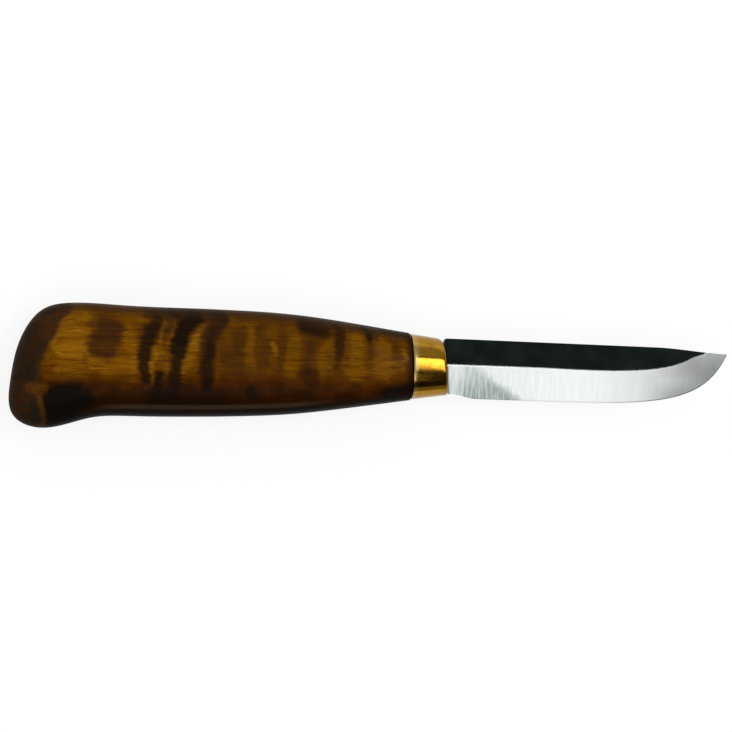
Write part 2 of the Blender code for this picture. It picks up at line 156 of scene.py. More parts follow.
def oval_arc(flat_share, exponent):
    """A quarter section as (reach, height) pairs, from the outline up to the crown."""
    pairs = []
    for i in range(ARC_STEPS + 1):
        angle = math.pi / 2 * i / ARC_STEPS
        reach = max(math.cos(angle), 0.0) ** (2 / exponent)
        height = math.sin(angle) ** (2 / exponent)
        pairs.append((between(flat_share, 1.0, reach), height))
    return pairs + [(0.0, 1.0)]


def oval_ring(x, rise, drop, half_thickness, flat, exponent):
    """A closed oval across the axis at x, from rise above it to drop below it."""
    crown = (rise - drop) / 2
    half_height = (rise + drop) / 2
    quarter = oval_arc(flat / 2 / half_height, exponent)
    ring = []
    for side in (1, -1):
        over = [(x, crown + side * half_height * r, side * half_thickness * h) for r, h in quarter]
        under = [(x, crown - side * half_height * r, side * half_thickness * h) for r, h in quarter]
        ring += over + under[-2:0:-1]
    return ring


def bar_ring(x, middle, half_height, half_width, radius):
    """A closed rounded rectangle across the axis at x, with its middle that far above it."""
    per_corner = RING_POINTS // 4
    ring = []
    for corner in range(4):
        across = 1 if corner in (0, 3) else -1
        over = 1 if corner in (0, 1) else -1
        for i in range(per_corner):
            angle = math.pi / 2 * (1 - corner - i / (per_corner - 1))
            y = middle + across * (half_height - radius) + radius * math.sin(angle)
            z = over * (half_width - radius) + radius * math.cos(angle)
            ring.append((x, y, z))
    return ring


def leaned(ring, lean):
    """The same ring with its upper side leaning back and its lower side forward."""
    return [(x - lean * y, y, z) for x, y, z in ring]


def add_row(mesh, points):
    return [mesh.verts.new(Vector(point) * MM) for point in points]


def join_rows(mesh, first, second):
    """Faces between two closed rows; points that are shared make triangles."""
    count = len(first)
    for i in range(count):
        corners = [first[i], first[(i + 1) % count], second[(i + 1) % count], second[i]]
        distinct = list(dict.fromkeys(corners))
        if len(distinct) > 2:
            mesh.faces.new(distinct)


def skin(mesh, rings):
    """Faces along a row of rings, with both ends left open."""
    rows = [add_row(mesh, ring) for ring in rings]
    for first, second in zip(rows, rows[1:]):
        join_rows(mesh, first, second)
    return rows


print("points in a ring:", RING_POINTS)

# %% [markdown]
# A finished mesh becomes an object at the knife's origin. Object coordinates are then the maker's
# own measurements, which the materials use later. Every mesh is checked here for open edges, since a
# real piece has none.

# %% Turn a mesh into a piece
SHARP_ANGLE = math.radians(32)


def make_piece(name, mesh, sharp_angle=SHARP_ANGLE):
    bmesh.ops.recalc_face_normals(mesh, faces=mesh.faces)
    open_edges = sum(not edge.is_manifold for edge in mesh.edges)
    data = bpy.data.meshes.new(name)
    mesh.to_mesh(data)
    mesh.free()
    if sharp_angle:
        data.shade_smooth()
        data.set_sharp_from_angle(angle=sharp_angle)
    piece = bpy.data.objects.new(name, data)
    piece.location = knife_place
    bpy.context.scene.collection.objects.link(piece)
    print(f"{name}: {len(data.polygons)} faces, {open_edges} open edges")
    return piece


print(f"edges over {math.degrees(SHARP_ANGLE):.0f} degrees stay crisp")

# %% [markdown]
# ## The tang and the ferrule's taper
#
# The tang is a plain forged bar that thins towards its end. Its section is needed three times: for
# the tang, for the slot in the ferrule, and for the bore in the handle. The ferrule is a short brass
# cup. It tapers towards the blade, and a hand-filed one is never quite square: both of its ends lean
# back a little at the top.

# %% Tang and ferrule sections
BLADE_THICKNESS = 3.2
TANG_RISE = 0.7  # middle of the tang above the axis
TANG_ROOT_HEIGHT = 5.0
TANG_ROOT_THICKNESS = 2.4
TANG_END_HEIGHT = 3.6
TANG_END_THICKNESS = 1.9
TANG_CORNER = 0.4
ADHESIVE_WALL = 0.6
FERRULE_LENGTH = 9.5
FERRULE_WALL = 1.3
FERRULE_FRONT_WALL = 1.8
NOSE_RISE = 7.5
NOSE_DROP = 7.7
NOSE_THICKNESS = 13.6
NOSE_LEAN = 0.10
COLLAR_RISE = 8.7
COLLAR_DROP = 9.2
COLLAR_THICKNESS = 16.0
COLLAR_LEAN = 0.048
COLLAR_FLAT = 1.2
COLLAR_EXPONENT = 2.25
HANDLE_LENGTH = 109.0
BUTT_WOOD = 29.0  # solid wood left behind the bore
COLLAR_X = -FERRULE_LENGTH
TENON_X = -FERRULE_FRONT_WALL - SEAT_GAP
TANG_FIT = SEAT_GAP + ADHESIVE_WALL + SEAT_GAP
TANG_LENGTH = FERRULE_LENGTH + HANDLE_LENGTH - BUTT_WOOD - TANG_FIT


def ferrule_share(x):
    """0 at the collar and 1 at the ferrule's front face."""
    return (x - COLLAR_X) / FERRULE_LENGTH


def ferrule_lean(x):
    return between(COLLAR_LEAN, NOSE_LEAN, ferrule_share(x))


def tapered_oval(x, top_inset, low_inset):
    """The ferrule's tapering outside at x, drawn in at the top and at the bottom."""
    share = ferrule_share(x)
    rise = between(COLLAR_RISE, NOSE_RISE, share) - top_inset
    drop = between(COLLAR_DROP, NOSE_DROP, share) - low_inset
    half_thickness = between(COLLAR_THICKNESS, NOSE_THICKNESS, share) / 2
    half_thickness -= (top_inset + low_inset) / 2
    return oval_ring(x, rise, drop, half_thickness, COLLAR_FLAT, COLLAR_EXPONENT)


def ferrule_ring(x, inset):
    """An oval of the ferrule at x, leaning with it and drawn in by inset all round."""
    return leaned(tapered_oval(x, inset, inset), ferrule_lean(x))


def tang_ring(x, margin):
    """The tang's section at x, let out by margin all round."""
    share = -x / TANG_LENGTH
    half_height = between(TANG_ROOT_HEIGHT, TANG_END_HEIGHT, share) / 2
    half_width = between(TANG_ROOT_THICKNESS, TANG_END_THICKNESS, share) / 2
    return bar_ring(x, TANG_RISE, half_height + margin, half_width + margin, TANG_CORNER + margin)


def slot_ring(x, margin):
    """The tang's section let out by margin, leaning with the ferrule's front wall."""
    return leaned(tang_ring(x, margin), ferrule_lean(x))


print(f"tang {TANG_LENGTH:.1f} mm long behind the ferrule's face")

# %% [markdown]
# ## The handle
#
# One block of birch: a slim front that swells to fill the palm, a straight back, and a butt that
# drops into a beak so the hand cannot slip off. Its side view is a smooth curve through a few
# measured points, just as a maker draws it on the block. A spline through points spaced by the root
# of their distance stays calm round the tight corners of the butt, where an even spacing would
# overshoot.

# %% Draw the handle's side view
WOOD_PROUD = 0.2  # how far the wood stands out from the ferrule at the collar
BUTT_X = COLLAR_X - HANDLE_LENGTH
OUTLINE_STEPS = 2400
HANDLE_NODES = [
    (COLLAR_X, COLLAR_RISE + WOOD_PROUD),
    (COLLAR_X - 23.0, 11.9),
    (COLLAR_X - 42.0, 13.3),
    (BUTT_X + 34.0, 13.6),
    (BUTT_X + 22.4, 14.0),
    (BUTT_X + 11.3, 13.2),
    (BUTT_X + 6.0, 9.8),
    (BUTT_X + 2.05, 2.5),
    (BUTT_X, -8.2),
    (BUTT_X + 1.1, -17.1),
    (BUTT_X + 9.7, -20.35),
    (BUTT_X + 21.5, -17.35),
    (BUTT_X + 34.0, -16.4),
    (COLLAR_X - 42.0, -15.2),
    (COLLAR_X - 23.0, -13.2),
    (COLLAR_X, -COLLAR_DROP - WOOD_PROUD),
]


def smooth_path(nodes, steps):
    """Points along a natural cubic spline through the nodes."""
    points = np.array(nodes, float)
    chords = np.sqrt(np.linalg.norm(np.diff(points, axis=0), axis=1))
    knots = np.concatenate([[0.0], np.cumsum(chords)])
    count = len(points)
    system = np.eye(count)
    pulls = np.zeros_like(points)
    for i in range(1, count - 1):
        before, after = chords[i - 1], chords[i]
        system[i, i - 1 : i + 2] = before, 2 * (before + after), after
        pulls[i] = 6 * ((points[i + 1] - points[i]) / after - (points[i] - points[i - 1]) / before)
    bend = np.linalg.solve(system, pulls)
    found = []
    for t in np.linspace(0.0, knots[-1], steps):
        i = min(max(int(np.searchsorted(knots, t)) - 1, 0), count - 2)
        width = chords[i]
        a, b = (knots[i + 1] - t) / width, (t - knots[i]) / width
        curve = ((a**3 - a) * bend[i] + (b**3 - b) * bend[i + 1]) * width**2 / 6
        found.append(a * points[i] + b * points[i + 1] + curve)
    return np.array(found)


outline = smooth_path(HANDLE_NODES, OUTLINE_STEPS)
print("handle outline, lowest and highest:", outline[:, 1].min(), outline[:, 1].max())

# %% [markdown]
# Upright sections along that outline make the body. A handle is carved in line with its ferrule
# first, so the sides start with the brass cup's own taper and section. Within the first finger's
# width they reach their full thickness, grow a little squarer and get a flat for the palm.

# %% Shape one section of the handle
HANDLE_THICKNESS = 19.8
SIDE_FLAT = 7.6
SIDE_RUN = 15.0  # from the collar to where the sides have their full thickness
GRIP_EXPONENT = 2.45


def crossing(path, x):
    """Height at which a branch of the outline passes x."""
    order = np.argsort(path[:, 0])
    return np.interp(x, path[order, 0], path[order, 1])


def handle_ring(x, upper, lower, inset=0.0):
    """The handle's section at x."""
    run = min((COLLAR_X - x) / SIDE_RUN, 1.0)
    share = smooth_step(run)
    start, end = COLLAR_THICKNESS / 2 + WOOD_PROUD, HANDLE_THICKNESS / 2
    lead = (COLLAR_THICKNESS - NOSE_THICKNESS) / 2 / FERRULE_LENGTH * SIDE_RUN
    half_thickness = between(start, end, share) + lead * run * (1 - run) ** 2 - inset
    flat = between(COLLAR_FLAT, SIDE_FLAT, share)
    exponent = between(COLLAR_EXPONENT, GRIP_EXPONENT, share)
    rise, drop = crossing(upper, x) - inset, -crossing(lower, x) - inset
    ring = oval_ring(x, rise, drop, half_thickness, flat, exponent)
    return leaned(ring, COLLAR_LEAN * (1 - share))


rear = int(outline[:, 0].argmin())
upper_line, lower_line = outline[: rear + 1], outline[rear:]
print("outline points above and below:", len(upper_line), len(lower_line))

# %% [markdown]
# The butt cannot be made of the same upright sections, because its rear end is a slope. There the
# sections fan out from one point on each side, like the ribs of a shell. Both end ribs use the
# vertices of the last upright section, so the two skins meet without a seam.

# %% Shape the butt
BUTT_EXPONENT = 2.1


def evenly_along(path, count):
    """As many points as asked for, evenly spaced along a path, both ends among them."""
    lengths = np.concatenate([[0.0], np.cumsum(np.linalg.norm(np.diff(path, axis=0), axis=1))])
    places = np.linspace(0.0, lengths[-1], count)
    return np.stack([np.interp(places, lengths, path[:, k]) for k in (0, 1)], axis=1)


def skin_butt(mesh, last_ring, end_outline):
    """Rounds off the butt: ribs over the outline's end, all from the last section's two crowns."""
    half = len(last_ring) // 2
    crown = {1: last_ring[ARC_STEPS + 1], -1: last_ring[half + ARC_STEPS + 1]}
    focus = crown[1].co / MM
    half_thickness = focus.z
    focus.z = 0.0
    top_rib = last_ring[ARC_STEPS + 1 :: -1] + last_ring[: half + ARC_STEPS : -1]
    low_rib = last_ring[ARC_STEPS + 1 : half + ARC_STEPS + 2]
    ribs = [top_rib]
    for step, (x, y) in enumerate(end_outline[1:-1], start=1):
        out = Vector((x, y, 0.0)) - focus
        middle = math.sin(math.pi * step / (len(end_outline) - 1))
        exponent = between(GRIP_EXPONENT, BUTT_EXPONENT, middle)
        quarter = oval_arc(SIDE_FLAT / 2 / out.length, exponent)[:-1]
        over = [focus + out * r + Vector((0, 0, half_thickness * h)) for r, h in quarter[::-1]]
        under = [focus + out * r - Vector((0, 0, half_thickness * h)) for r, h in quarter[1:]]
        ribs.append([crown[1], *add_row(mesh, over + under), crown[-1]])
    ribs.append(low_rib)
    for first, second in zip(ribs, ribs[1:]):
        for i in range(len(first) - 1):
            corners = [first[i], first[i + 1], second[i + 1], second[i]]
            mesh.faces.new(list(dict.fromkeys(corners)))


print("points in a rib:", 2 * ARC_STEPS + 3)

# %% [markdown]
# The whole handle is one closed skin. It starts at the blind end of the bore, comes out through the
# tenon's front face, runs back along the tenon, turns over the rounded shoulder at the collar, and
# follows the body to the butt.

# %% Loft the handle
FOCUS_X = BUTT_X + 17.5  # where the upright sections end and the ribs begin
SHOULDER_X = COLLAR_X - SEAT_GAP
SHOULDER_ROUNDING = 0.25
SHOULDER_TURNS = (0.0, 0.25, 0.5, 0.75, 1.0)  # shares of a quarter turn
BODY_STEPS = 150
BUTT_STEPS = 90

tenon_inset = FERRULE_WALL + SEAT_GAP
handle_rings = [
    tang_ring(-TANG_LENGTH - TANG_FIT, TANG_FIT),
    slot_ring(TENON_X, TANG_FIT),
    ferrule_ring(TENON_X, tenon_inset),
    ferrule_ring(SHOULDER_X, tenon_inset),
]
inside_rings = len(handle_rings)
for turn_share in SHOULDER_TURNS:
    angle = math.pi / 2 * turn_share
    ring_x = SHOULDER_X - SHOULDER_ROUNDING * (1 - math.cos(angle))
    inset = SHOULDER_ROUNDING * (1 - math.sin(angle))
    handle_rings.append(handle_ring(ring_x, upper_line, lower_line, inset))
body_start = SHOULDER_X - SHOULDER_ROUNDING
for x in np.linspace(body_start, FOCUS_X, BODY_STEPS)[1:]:
    handle_rings.append(handle_ring(x, upper_line, lower_line))
handle_mesh = bmesh.new()
handle_rows = skin(handle_mesh, handle_rings)
handle_mesh.faces.new(handle_rows[0])
end_top = (FOCUS_X, crossing(upper_line, FOCUS_X))
end_bottom = (FOCUS_X, crossing(lower_line, FOCUS_X))
end_path = np.vstack([end_top, outline[outline[:, 0] < FOCUS_X], end_bottom])
skin_butt(handle_mesh, handle_rows[-1], evenly_along(end_path, BUTT_STEPS + 1))
print("handle vertices:", len(handle_mesh.verts))

# %% [markdown]
# A knife and sandpaper leave wood gently uneven. Moving each point of the skin by a few hundredths of
# a millimetre, along slow waves, makes the oiled wood catch the light in a broken line instead of a
# ruled one. The tenon and the bore stay true, because they have to fit.

# %% Carve the handle's skin
CARVING_DEPTH = 0.09
CARVING_LENGTHS = Vector((14.0, 9.0, 7.0))
CARVING_START = 2.0  # the carving sets in over this far behind the shoulder

inside = {vert for row in handle_rows[:inside_rings] for vert in row}
bmesh.ops.recalc_face_normals(handle_mesh, faces=handle_mesh.faces)
handle_mesh.normal_update()
moves = []
for vert in handle_mesh.verts:
    if vert not in inside:
        spot = vert.co / MM
        wave = noise.noise(Vector(a / b for a, b in zip(spot, CARVING_LENGTHS)))
        fade = smooth_step((SHOULDER_X - spot.x) / CARVING_START)
        moves.append((vert, vert.normal * (wave - 1) / 2 * CARVING_DEPTH * fade * MM))
for vert, move in moves:
    vert.co += move
handle = make_piece("curly_birch_handle", handle_mesh)

# %% [markdown]
# ## The ferrule
#
# The brass cup is one closed loft: in through the slot, round the front edge, along the outside,
# round the rim, and back up the inside. A filed side is never dead straight. A bulge of a few
# hundredths of a millimetre, and slow file waves, bend the lamp's reflection the way the real cup
# does.

# %% Loft the ferrule
NOSE_TOP_RADIUS = 1.5
NOSE_LOW_RADIUS = 0.5
NOSE_END = -(NOSE_TOP_RADIUS + NOSE_LOW_RADIUS) / 2
RIM_ROUNDING = 0.25
RIM_TURNS = (0.33, 0.67, 1.0)  # shares of a quarter turn
BARREL = 0.07  # how far the sides bulge
FILE_WAVE = 0.018
FILE_WAVE_LENGTH = 2.6
CORNER_STEPS = 14
SIDE_STEPS = 18


def nose_ring(angle):
    """One ring round the front edge, rounded more at the top than at the bottom."""
    set_back, inset = 1 - math.sin(angle), 1 - math.cos(angle)
    x = NOSE_END * set_back
    ring = tapered_oval(x, NOSE_TOP_RADIUS * inset, NOSE_LOW_RADIUS * inset)
    more_lean = (NOSE_TOP_RADIUS - NOSE_LOW_RADIUS) * set_back / (NOSE_RISE + NOSE_DROP)
    return leaned(ring, ferrule_lean(x) + more_lean)


ferrule_rings = [slot_ring(0.0, SEAT_GAP)]
for i in range(CORNER_STEPS + 1):
    ferrule_rings.append(nose_ring(math.pi / 2 * (1 - i / CORNER_STEPS)))
for x in np.linspace(NOSE_END, COLLAR_X + RIM_ROUNDING, SIDE_STEPS)[1:]:
    share = ferrule_share(x)
    ferrule_rings.append(ferrule_ring(x, -4 * BARREL * share * (1 - share)))
outside_rings = len(ferrule_rings)
for turn_share in RIM_TURNS:
    angle = math.pi / 2 * turn_share
    ring_x = COLLAR_X + RIM_ROUNDING * (1 - math.sin(angle))
    ferrule_rings.append(ferrule_ring(ring_x, RIM_ROUNDING * (1 - math.cos(angle))))
ferrule_rings.append(ferrule_ring(COLLAR_X, FERRULE_WALL))
ferrule_rings.append(ferrule_ring(-FERRULE_FRONT_WALL, FERRULE_WALL))
ferrule_rings.append(slot_ring(-FERRULE_FRONT_WALL, SEAT_GAP))
ferrule_mesh = bmesh.new()
ferrule_rows = skin(ferrule_mesh, ferrule_rings)
join_rows(ferrule_mesh, ferrule_rows[-1], ferrule_rows[0])
bmesh.ops.recalc_face_normals(ferrule_mesh, faces=ferrule_mesh.faces)
ferrule_mesh.normal_update()
for row in ferrule_rows[2:outside_rings]:
    for vert in row:
        wave = noise.noise(vert.co / MM / FILE_WAVE_LENGTH)
        vert.co += vert.normal * (wave - 1) / 2 * FILE_WAVE * MM
ferrule = make_piece("brass_ferrule", ferrule_mesh)

# %% [markdown]
# ## The blade
#
# The blade starts as a flat bar. Both sides are ground away towards the edge at one steady angle, so
# the thickness at any point depends only on how far that point is from the edge. That gives the
# bevel its straight upper border along the straight edge, and the sweep up to the spine near the
# tip, without drawing either. Only two lines are drawn: the spine, and the edge, which is straight
# and then climbs to the tip in a long curve.

# %% Draw the edge and the spine
SPINE_RISE = 7.75
SPINE_FALL = 0.4
SPINE_CORNER = 1.0
CLIP_RUN = 20.0  # from the tip back to where the spine starts to dip
TIP_RISE = 6.1
BELLY_RUN = 45.0  # from the tip back to where the straight edge ends
BELLY_PULL = 28.8
TIP_PULL = 13.7
TIP_ANGLE = math.radians(67)
CURVE_STEPS = 120


def spine_path():
    """The spine's outline from the shoulder to the tip, with its rounded corner."""
    clip_x = TIP_X - CLIP_RUN
    fall = SPINE_FALL / (clip_x - BLADE_X)
    corner_y = SPINE_RISE - fall * SPINE_CORNER
    path = []
    for i in range(CORNER_STEPS + 1):
        angle = math.pi / 2 * i / CORNER_STEPS
        x = BLADE_X + SPINE_CORNER * (1 - math.cos(angle))
        path.append((x, corner_y - SPINE_CORNER * (1 - math.sin(angle))))
    start = Vector((clip_x, SPINE_RISE - SPINE_FALL))
    tip = Vector((TIP_X, TIP_RISE))
    pull = Vector((CLIP_RUN / 3, -fall * CLIP_RUN / 3))
    clip = geometry.interpolate_bezier(start, start + pull, tip - pull, tip, CURVE_STEPS)
    return np.array(path + [tuple(p) for p in clip])


def edge_path():
    """The line where the two bevels meet: straight, then up the belly to the tip."""
    start = Vector((TIP_X - BELLY_RUN, -EDGE_DROP))
    tip = Vector((TIP_X, TIP_RISE))
    pull = Vector((BELLY_PULL, 0.0))
    along = Vector((math.cos(TIP_ANGLE), math.sin(TIP_ANGLE)))
    belly = geometry.interpolate_bezier(start, start + pull, tip - along * TIP_PULL, tip, CURVE_STEPS)
    return np.array([(BLADE_X, -EDGE_DROP)] + [tuple(p) for p in belly])


spine_line, edge_line = spine_path(), edge_path()
print("blade height at the heel:", spine_line[:, 1].max() - edge_line[:, 1].min())

# %% [markdown]
# How thick the steel is at a point follows from two rules. The bar itself thins a little towards
# the tip. The grind takes away more, in step with the distance to the cutting edge, and the last
# quarter of a millimetre is honed a little steeper, as every used edge is. The grind line lies where
# both rules give the same thickness. Halving a range of heights again and again finds it.

# %% Work out the blade's thickness
GRIND_ANGLE = math.radians(10.05)
GRIND_TOLERANCE = 0.0003
THINNING_END = 6.5  # from the tip back to where the flats are thinnest
THINNING_RUN = 45.5
EVEN_THINNING = 0.25
POINT_THINNING = 1.0
POINT_POWER = 17  # keeps the stronger thinning close to the point
HONED_WIDTH = 0.28
HONED_POWER = 0.6


def distance_to_edge(x, y):
    """Shortest distance from a point to the cutting edge's line."""
    point = np.array((x, y))
    start, along = edge_line[:-1], np.diff(edge_line, axis=0)
    share = np.clip(((point - start) * along).sum(1) / (along**2).sum(1), 0.0, 1.0)
    return np.linalg.norm(start + along * share[:, None] - point, axis=1).min()


def flat_half_thickness(x):
    start = TIP_X - THINNING_END - THINNING_RUN
    share = min(max((x - start) / THINNING_RUN, 0.0), 1.0)
    return (BLADE_THICKNESS - EVEN_THINNING * share - POINT_THINNING * share**POINT_POWER) / 2


def ground_half_thickness(x, y):
    """Half the thickness that the grind leaves, convex where the edge is honed."""
    distance = distance_to_edge(x, y)
    if distance < HONED_WIDTH:
        distance = HONED_WIDTH * (distance / HONED_WIDTH) ** HONED_POWER
    return math.tan(GRIND_ANGLE) * distance


def grind_height(x, low, high):
    """Height at which the bevel meets the flat at x, found by halving."""
    flat = flat_half_thickness(x)
    if ground_half_thickness(x, high) <= flat:
        return high
    while high - low > GRIND_TOLERANCE:
        middle = (low + high) / 2
        if ground_half_thickness(x, middle) < flat:
            low = middle
        else:
            high = middle
    return high


print(f"grind line above the axis: {grind_height(BLADE_X, -EDGE_DROP, SPINE_RISE):.2f} mm")

# %% [markdown]
# A section of the blade runs from the spine down one side to the edge and up the other. The spine's
# two long edges are eased by a stone. At the heel the edge stops short of its full depth and is left
# blunt, because the stone cannot reach the corner beside the ferrule. The points crowd together
# towards the cutting edge, where the honed strip is only a quarter of a millimetre wide.

# %% Cut one section of the blade
HEEL_DROP = 7.4
HEEL_START = 0.8
HEEL_RUN = 8.0
SPINE_EASE = 0.18
BEVEL_SHARES = (1.0, 0.9, 0.75, 0.6, 0.45, 0.3, 0.18, 0.09, 0.045, 0.028, 0.014, 0.005, 0.0)
EASE_TURNS = (0.0, 0.33, 0.67, 1.0)  # shares of a quarter turn


def blade_half(x):
    """One side of the section at x, as (y, half thickness) from the spine to the edge."""
    top = np.interp(x, spine_line[:, 0], spine_line[:, 1])
    low = np.interp(x, edge_line[:, 0], edge_line[:, 1])
    grind = grind_height(x, low, top)
    heel = (EDGE_DROP - HEEL_DROP) * (1 - smooth_step((x - BLADE_X - HEEL_START) / HEEL_RUN))
    bottom = low + heel
    flat = min(flat_half_thickness(x), ground_half_thickness(x, top))
    ease = min(SPINE_EASE, (top - grind) / 2, flat / 2)
    half = []
    for turn_share in EASE_TURNS:
        angle = math.pi / 2 * turn_share
        half.append((top - ease * (1 - math.cos(angle)), flat - ease * (1 - math.sin(angle))))
    for share in BEVEL_SHARES:
        y = between(bottom, grind, share)
        half.append((y, min(ground_half_thickness(x, y), flat)))
    return half, grind


print("points down one side of a section:", len(EASE_TURNS) + len(BEVEL_SHARES))

# %% [markdown]
# Near the tip the flats run out and several points of a section fall together. Such points share one
# vertex, so the skin closes with triangles and no face is left without area. The shoulder has a hole
# for the tang's outline, and Blender fills the ring-shaped face between the two. Two numbers are kept
# with each vertex for the steel's finish: how far it lies above the grind line, and how far from the
# cutting edge.

# %% Skin the blade and its tang
STRAIGHT_STATIONS = 60
BELLY_STATIONS = 130
STATION_CROWDING = 1.5  # above 1 the stations crowd towards the tip
SAME_POINT = 0.002
TANG_FINISH = 8.0  # the tang counts as being this far above the grind line


def blade_row(mesh, x, above_grind, from_edge):
    """Adds one section's vertices, in a ring that starts at the spine of the upper side."""
    half, grind = blade_half(x)
    lean = NOSE_LEAN * (1 - smooth_step((x - BLADE_X) / (HEEL_START + HEEL_RUN)))
    row = []
    for side, points in ((1, half), (-1, half[::-1])):
        for y, thickness in points:
            spot = Vector((x - lean * y, y, side * thickness)) * MM
            if row and (row[-1].co - spot).length < SAME_POINT * MM:
                row.append(row[-1])
                continue
            vert = mesh.verts.new(spot)
            vert[above_grind] = y - grind
            vert[from_edge] = distance_to_edge(x, y)
            row.append(vert)
    if (row[0].co - row[-1].co).length < SAME_POINT * MM:
        mesh.verts.remove(row[-1])
        row[-1] = row[0]
    return row


blade_mesh = bmesh.new()
above_grind = blade_mesh.verts.layers.float.new("above_grind")
from_edge = blade_mesh.verts.layers.float.new("from_edge")
corner_places = spine_line[: CORNER_STEPS + 1, 0]
straight_places = np.linspace(BLADE_X + SPINE_CORNER, TIP_X - BELLY_RUN, STRAIGHT_STATIONS)[1:]
belly_share = np.linspace(0.0, 1.0, BELLY_STATIONS)[1:-1]
belly_places = TIP_X - BELLY_RUN * (1 - belly_share) ** STATION_CROWDING
stations = np.concatenate([corner_places, straight_places, belly_places])
blade_rows = [blade_row(blade_mesh, x, above_grind, from_edge) for x in stations]
for first, second in zip(blade_rows, blade_rows[1:]):
    join_rows(blade_mesh, first, second)
tip_vert = blade_mesh.verts.new(Vector((TIP_X, TIP_RISE, 0.0)) * MM)
join_rows(blade_mesh, blade_rows[-1], [tip_vert] * len(blade_rows[-1]))

tang_rings = [leaned(tang_ring(BLADE_X, 0.0), NOSE_LEAN), tang_ring(-TANG_LENGTH, 0.0)]
tang_rows = skin(blade_mesh, tang_rings)
for row in tang_rows:
    for vert in row:
        vert[above_grind] = TANG_FINISH
        vert[from_edge] = TANG_FINISH
blade_mesh.faces.new(tang_rows[1])
shoulder = [edge for edge in blade_mesh.edges if edge.is_boundary]
bmesh.ops.triangle_fill(blade_mesh, edges=shoulder, use_beauty=True)
print("blade stations:", len(stations), "shoulder edges:", len(shoulder))

# %% [markdown]
# Smooth shading would melt the crisp line where the bevel leaves the flat, because the two meet at
# only ten degrees. That line, the cutting edge and the shoulder are marked sharp by hand, and
# everything else on the blade shades smoothly.

# %% Mark the blade's crisp lines
CRISP_ANGLE = math.radians(40)
grind_row = len(EASE_TURNS)
other_grind_row = 2 * (len(EASE_TURNS) + len(BEVEL_SHARES)) - 1 - grind_row
for face in blade_mesh.faces:
    face.smooth = True
for edge in blade_mesh.edges:
    if edge.is_manifold and edge.calc_face_angle(0.0) > CRISP_ANGLE:
        edge.smooth = False
for first, second in zip(blade_rows, blade_rows[1:]):
    for index in (grind_row, other_grind_row):
        edge = blade_mesh.edges.get((first[index], second[index]))
        if edge:
            edge.smooth = False
blade = make_piece("forged_blade", blade_mesh, sharp_angle=None)

# %% [markdown]
# ## The studio
#
# Paper, room and finishes are all made of shader nodes. A few helpers keep them short: one places a
# node and fills its inputs, and the others give the result of the nodes that are needed most. A ramp
# goes smoothly from one value to another. Its numbers are named together below: where it starts,
# where it ends, and the value at the start and at the end.

# %% Node helpers
def place(tree, kind, inputs=None, **settings):
    """Adds a node. Inputs are given by name or number, as values or as other nodes' sockets."""
    node = tree.nodes.new(kind)
    for key, value in settings.items():
        setattr(node, key, value)
    for key, value in (inputs or {}).items():
        if isinstance(value, bpy.types.NodeSocket):
            tree.links.new(value, node.inputs[key])
        else:
            node.inputs[key].default_value = value
    return node


def calc(tree, operation, *values):
    """One Math node's result."""
    return place(tree, "ShaderNodeMath", dict(enumerate(values)), operation=operation).outputs[0]


def times(tree, first, second):
    """One value times another, or what two masks have in common."""
    return calc(tree, "MULTIPLY", first, second)


def add_part(tree, value, part, base):
    """The base plus so much of a value."""
    return calc(tree, "MULTIPLY_ADD", value, part, base)


def ramp(tree, value, start, end, low=0.0, high=1.0):
    """Goes smoothly from low to high while the value goes from start to end."""
    inputs = {0: value, 1: start, 2: end, 3: low, 4: high}
    node = place(tree, "ShaderNodeMapRange", inputs, interpolation_type="SMOOTHSTEP")
    return node.outputs[0]


def mix(tree, share, first, second):
    """A value between two others, which are inputs 2 and 3 of a Mix node."""
    return place(tree, "ShaderNodeMix", {0: share, 2: first, 3: second}).outputs[0]


def axes(tree, vector):
    """A vector's X, Y and Z."""
    return place(tree, "ShaderNodeSeparateXYZ", {0: vector}).outputs


print("view transform:", bpy.context.scene.view_settings.view_transform)

# %% [markdown]
# The knife lies on white paper. Paper lit at a plain level renders light grey, so for a ray that
# comes from the camera, from metal or from glass most of its brightness is emitted instead. It then
# shows as white, and because a share of it is still lit, the knife keeps its shadow.

# %% Lay the paper floor
FLOOR_REACH = 3.0
FLOOR_CORNERS = ((-1, -1), (1, -1), (1, 1), (-1, 1))
FLOOR_GREY = 0.4  # share of the light that the paper throws back onto the knife
SHADOW_SHARE = 0.16  # share of the shown brightness that a shadow can take away
PAPER_FIBRES = {"Scale": 900.0, "Detail": 2.0}
PAPER_RAMP = (0.3, 0.7, 0.97, 1.0)
SEEN_RAYS = ("Is Camera Ray", "Is Glossy Ray", "Is Transmission Ray")


def seen_ray(tree):
    """1 for a ray that shows the surface as background, 0 for one that only gathers light."""
    light_path = place(tree, "ShaderNodeLightPath")
    seen = light_path.outputs[SEEN_RAYS[0]]
    for ray in SEEN_RAYS[1:]:
        seen = calc(tree, "MAXIMUM", seen, light_path.outputs[ray])
    return seen


floor_mesh = bpy.data.meshes.new("paper_floor")
floor_points = [(x * FLOOR_REACH, y * FLOOR_REACH, 0.0) for x, y in FLOOR_CORNERS]
floor_mesh.from_pydata(floor_points, [], [range(len(floor_points))])
floor = bpy.data.objects.new("paper_floor", floor_mesh)
bpy.context.scene.collection.objects.link(floor)

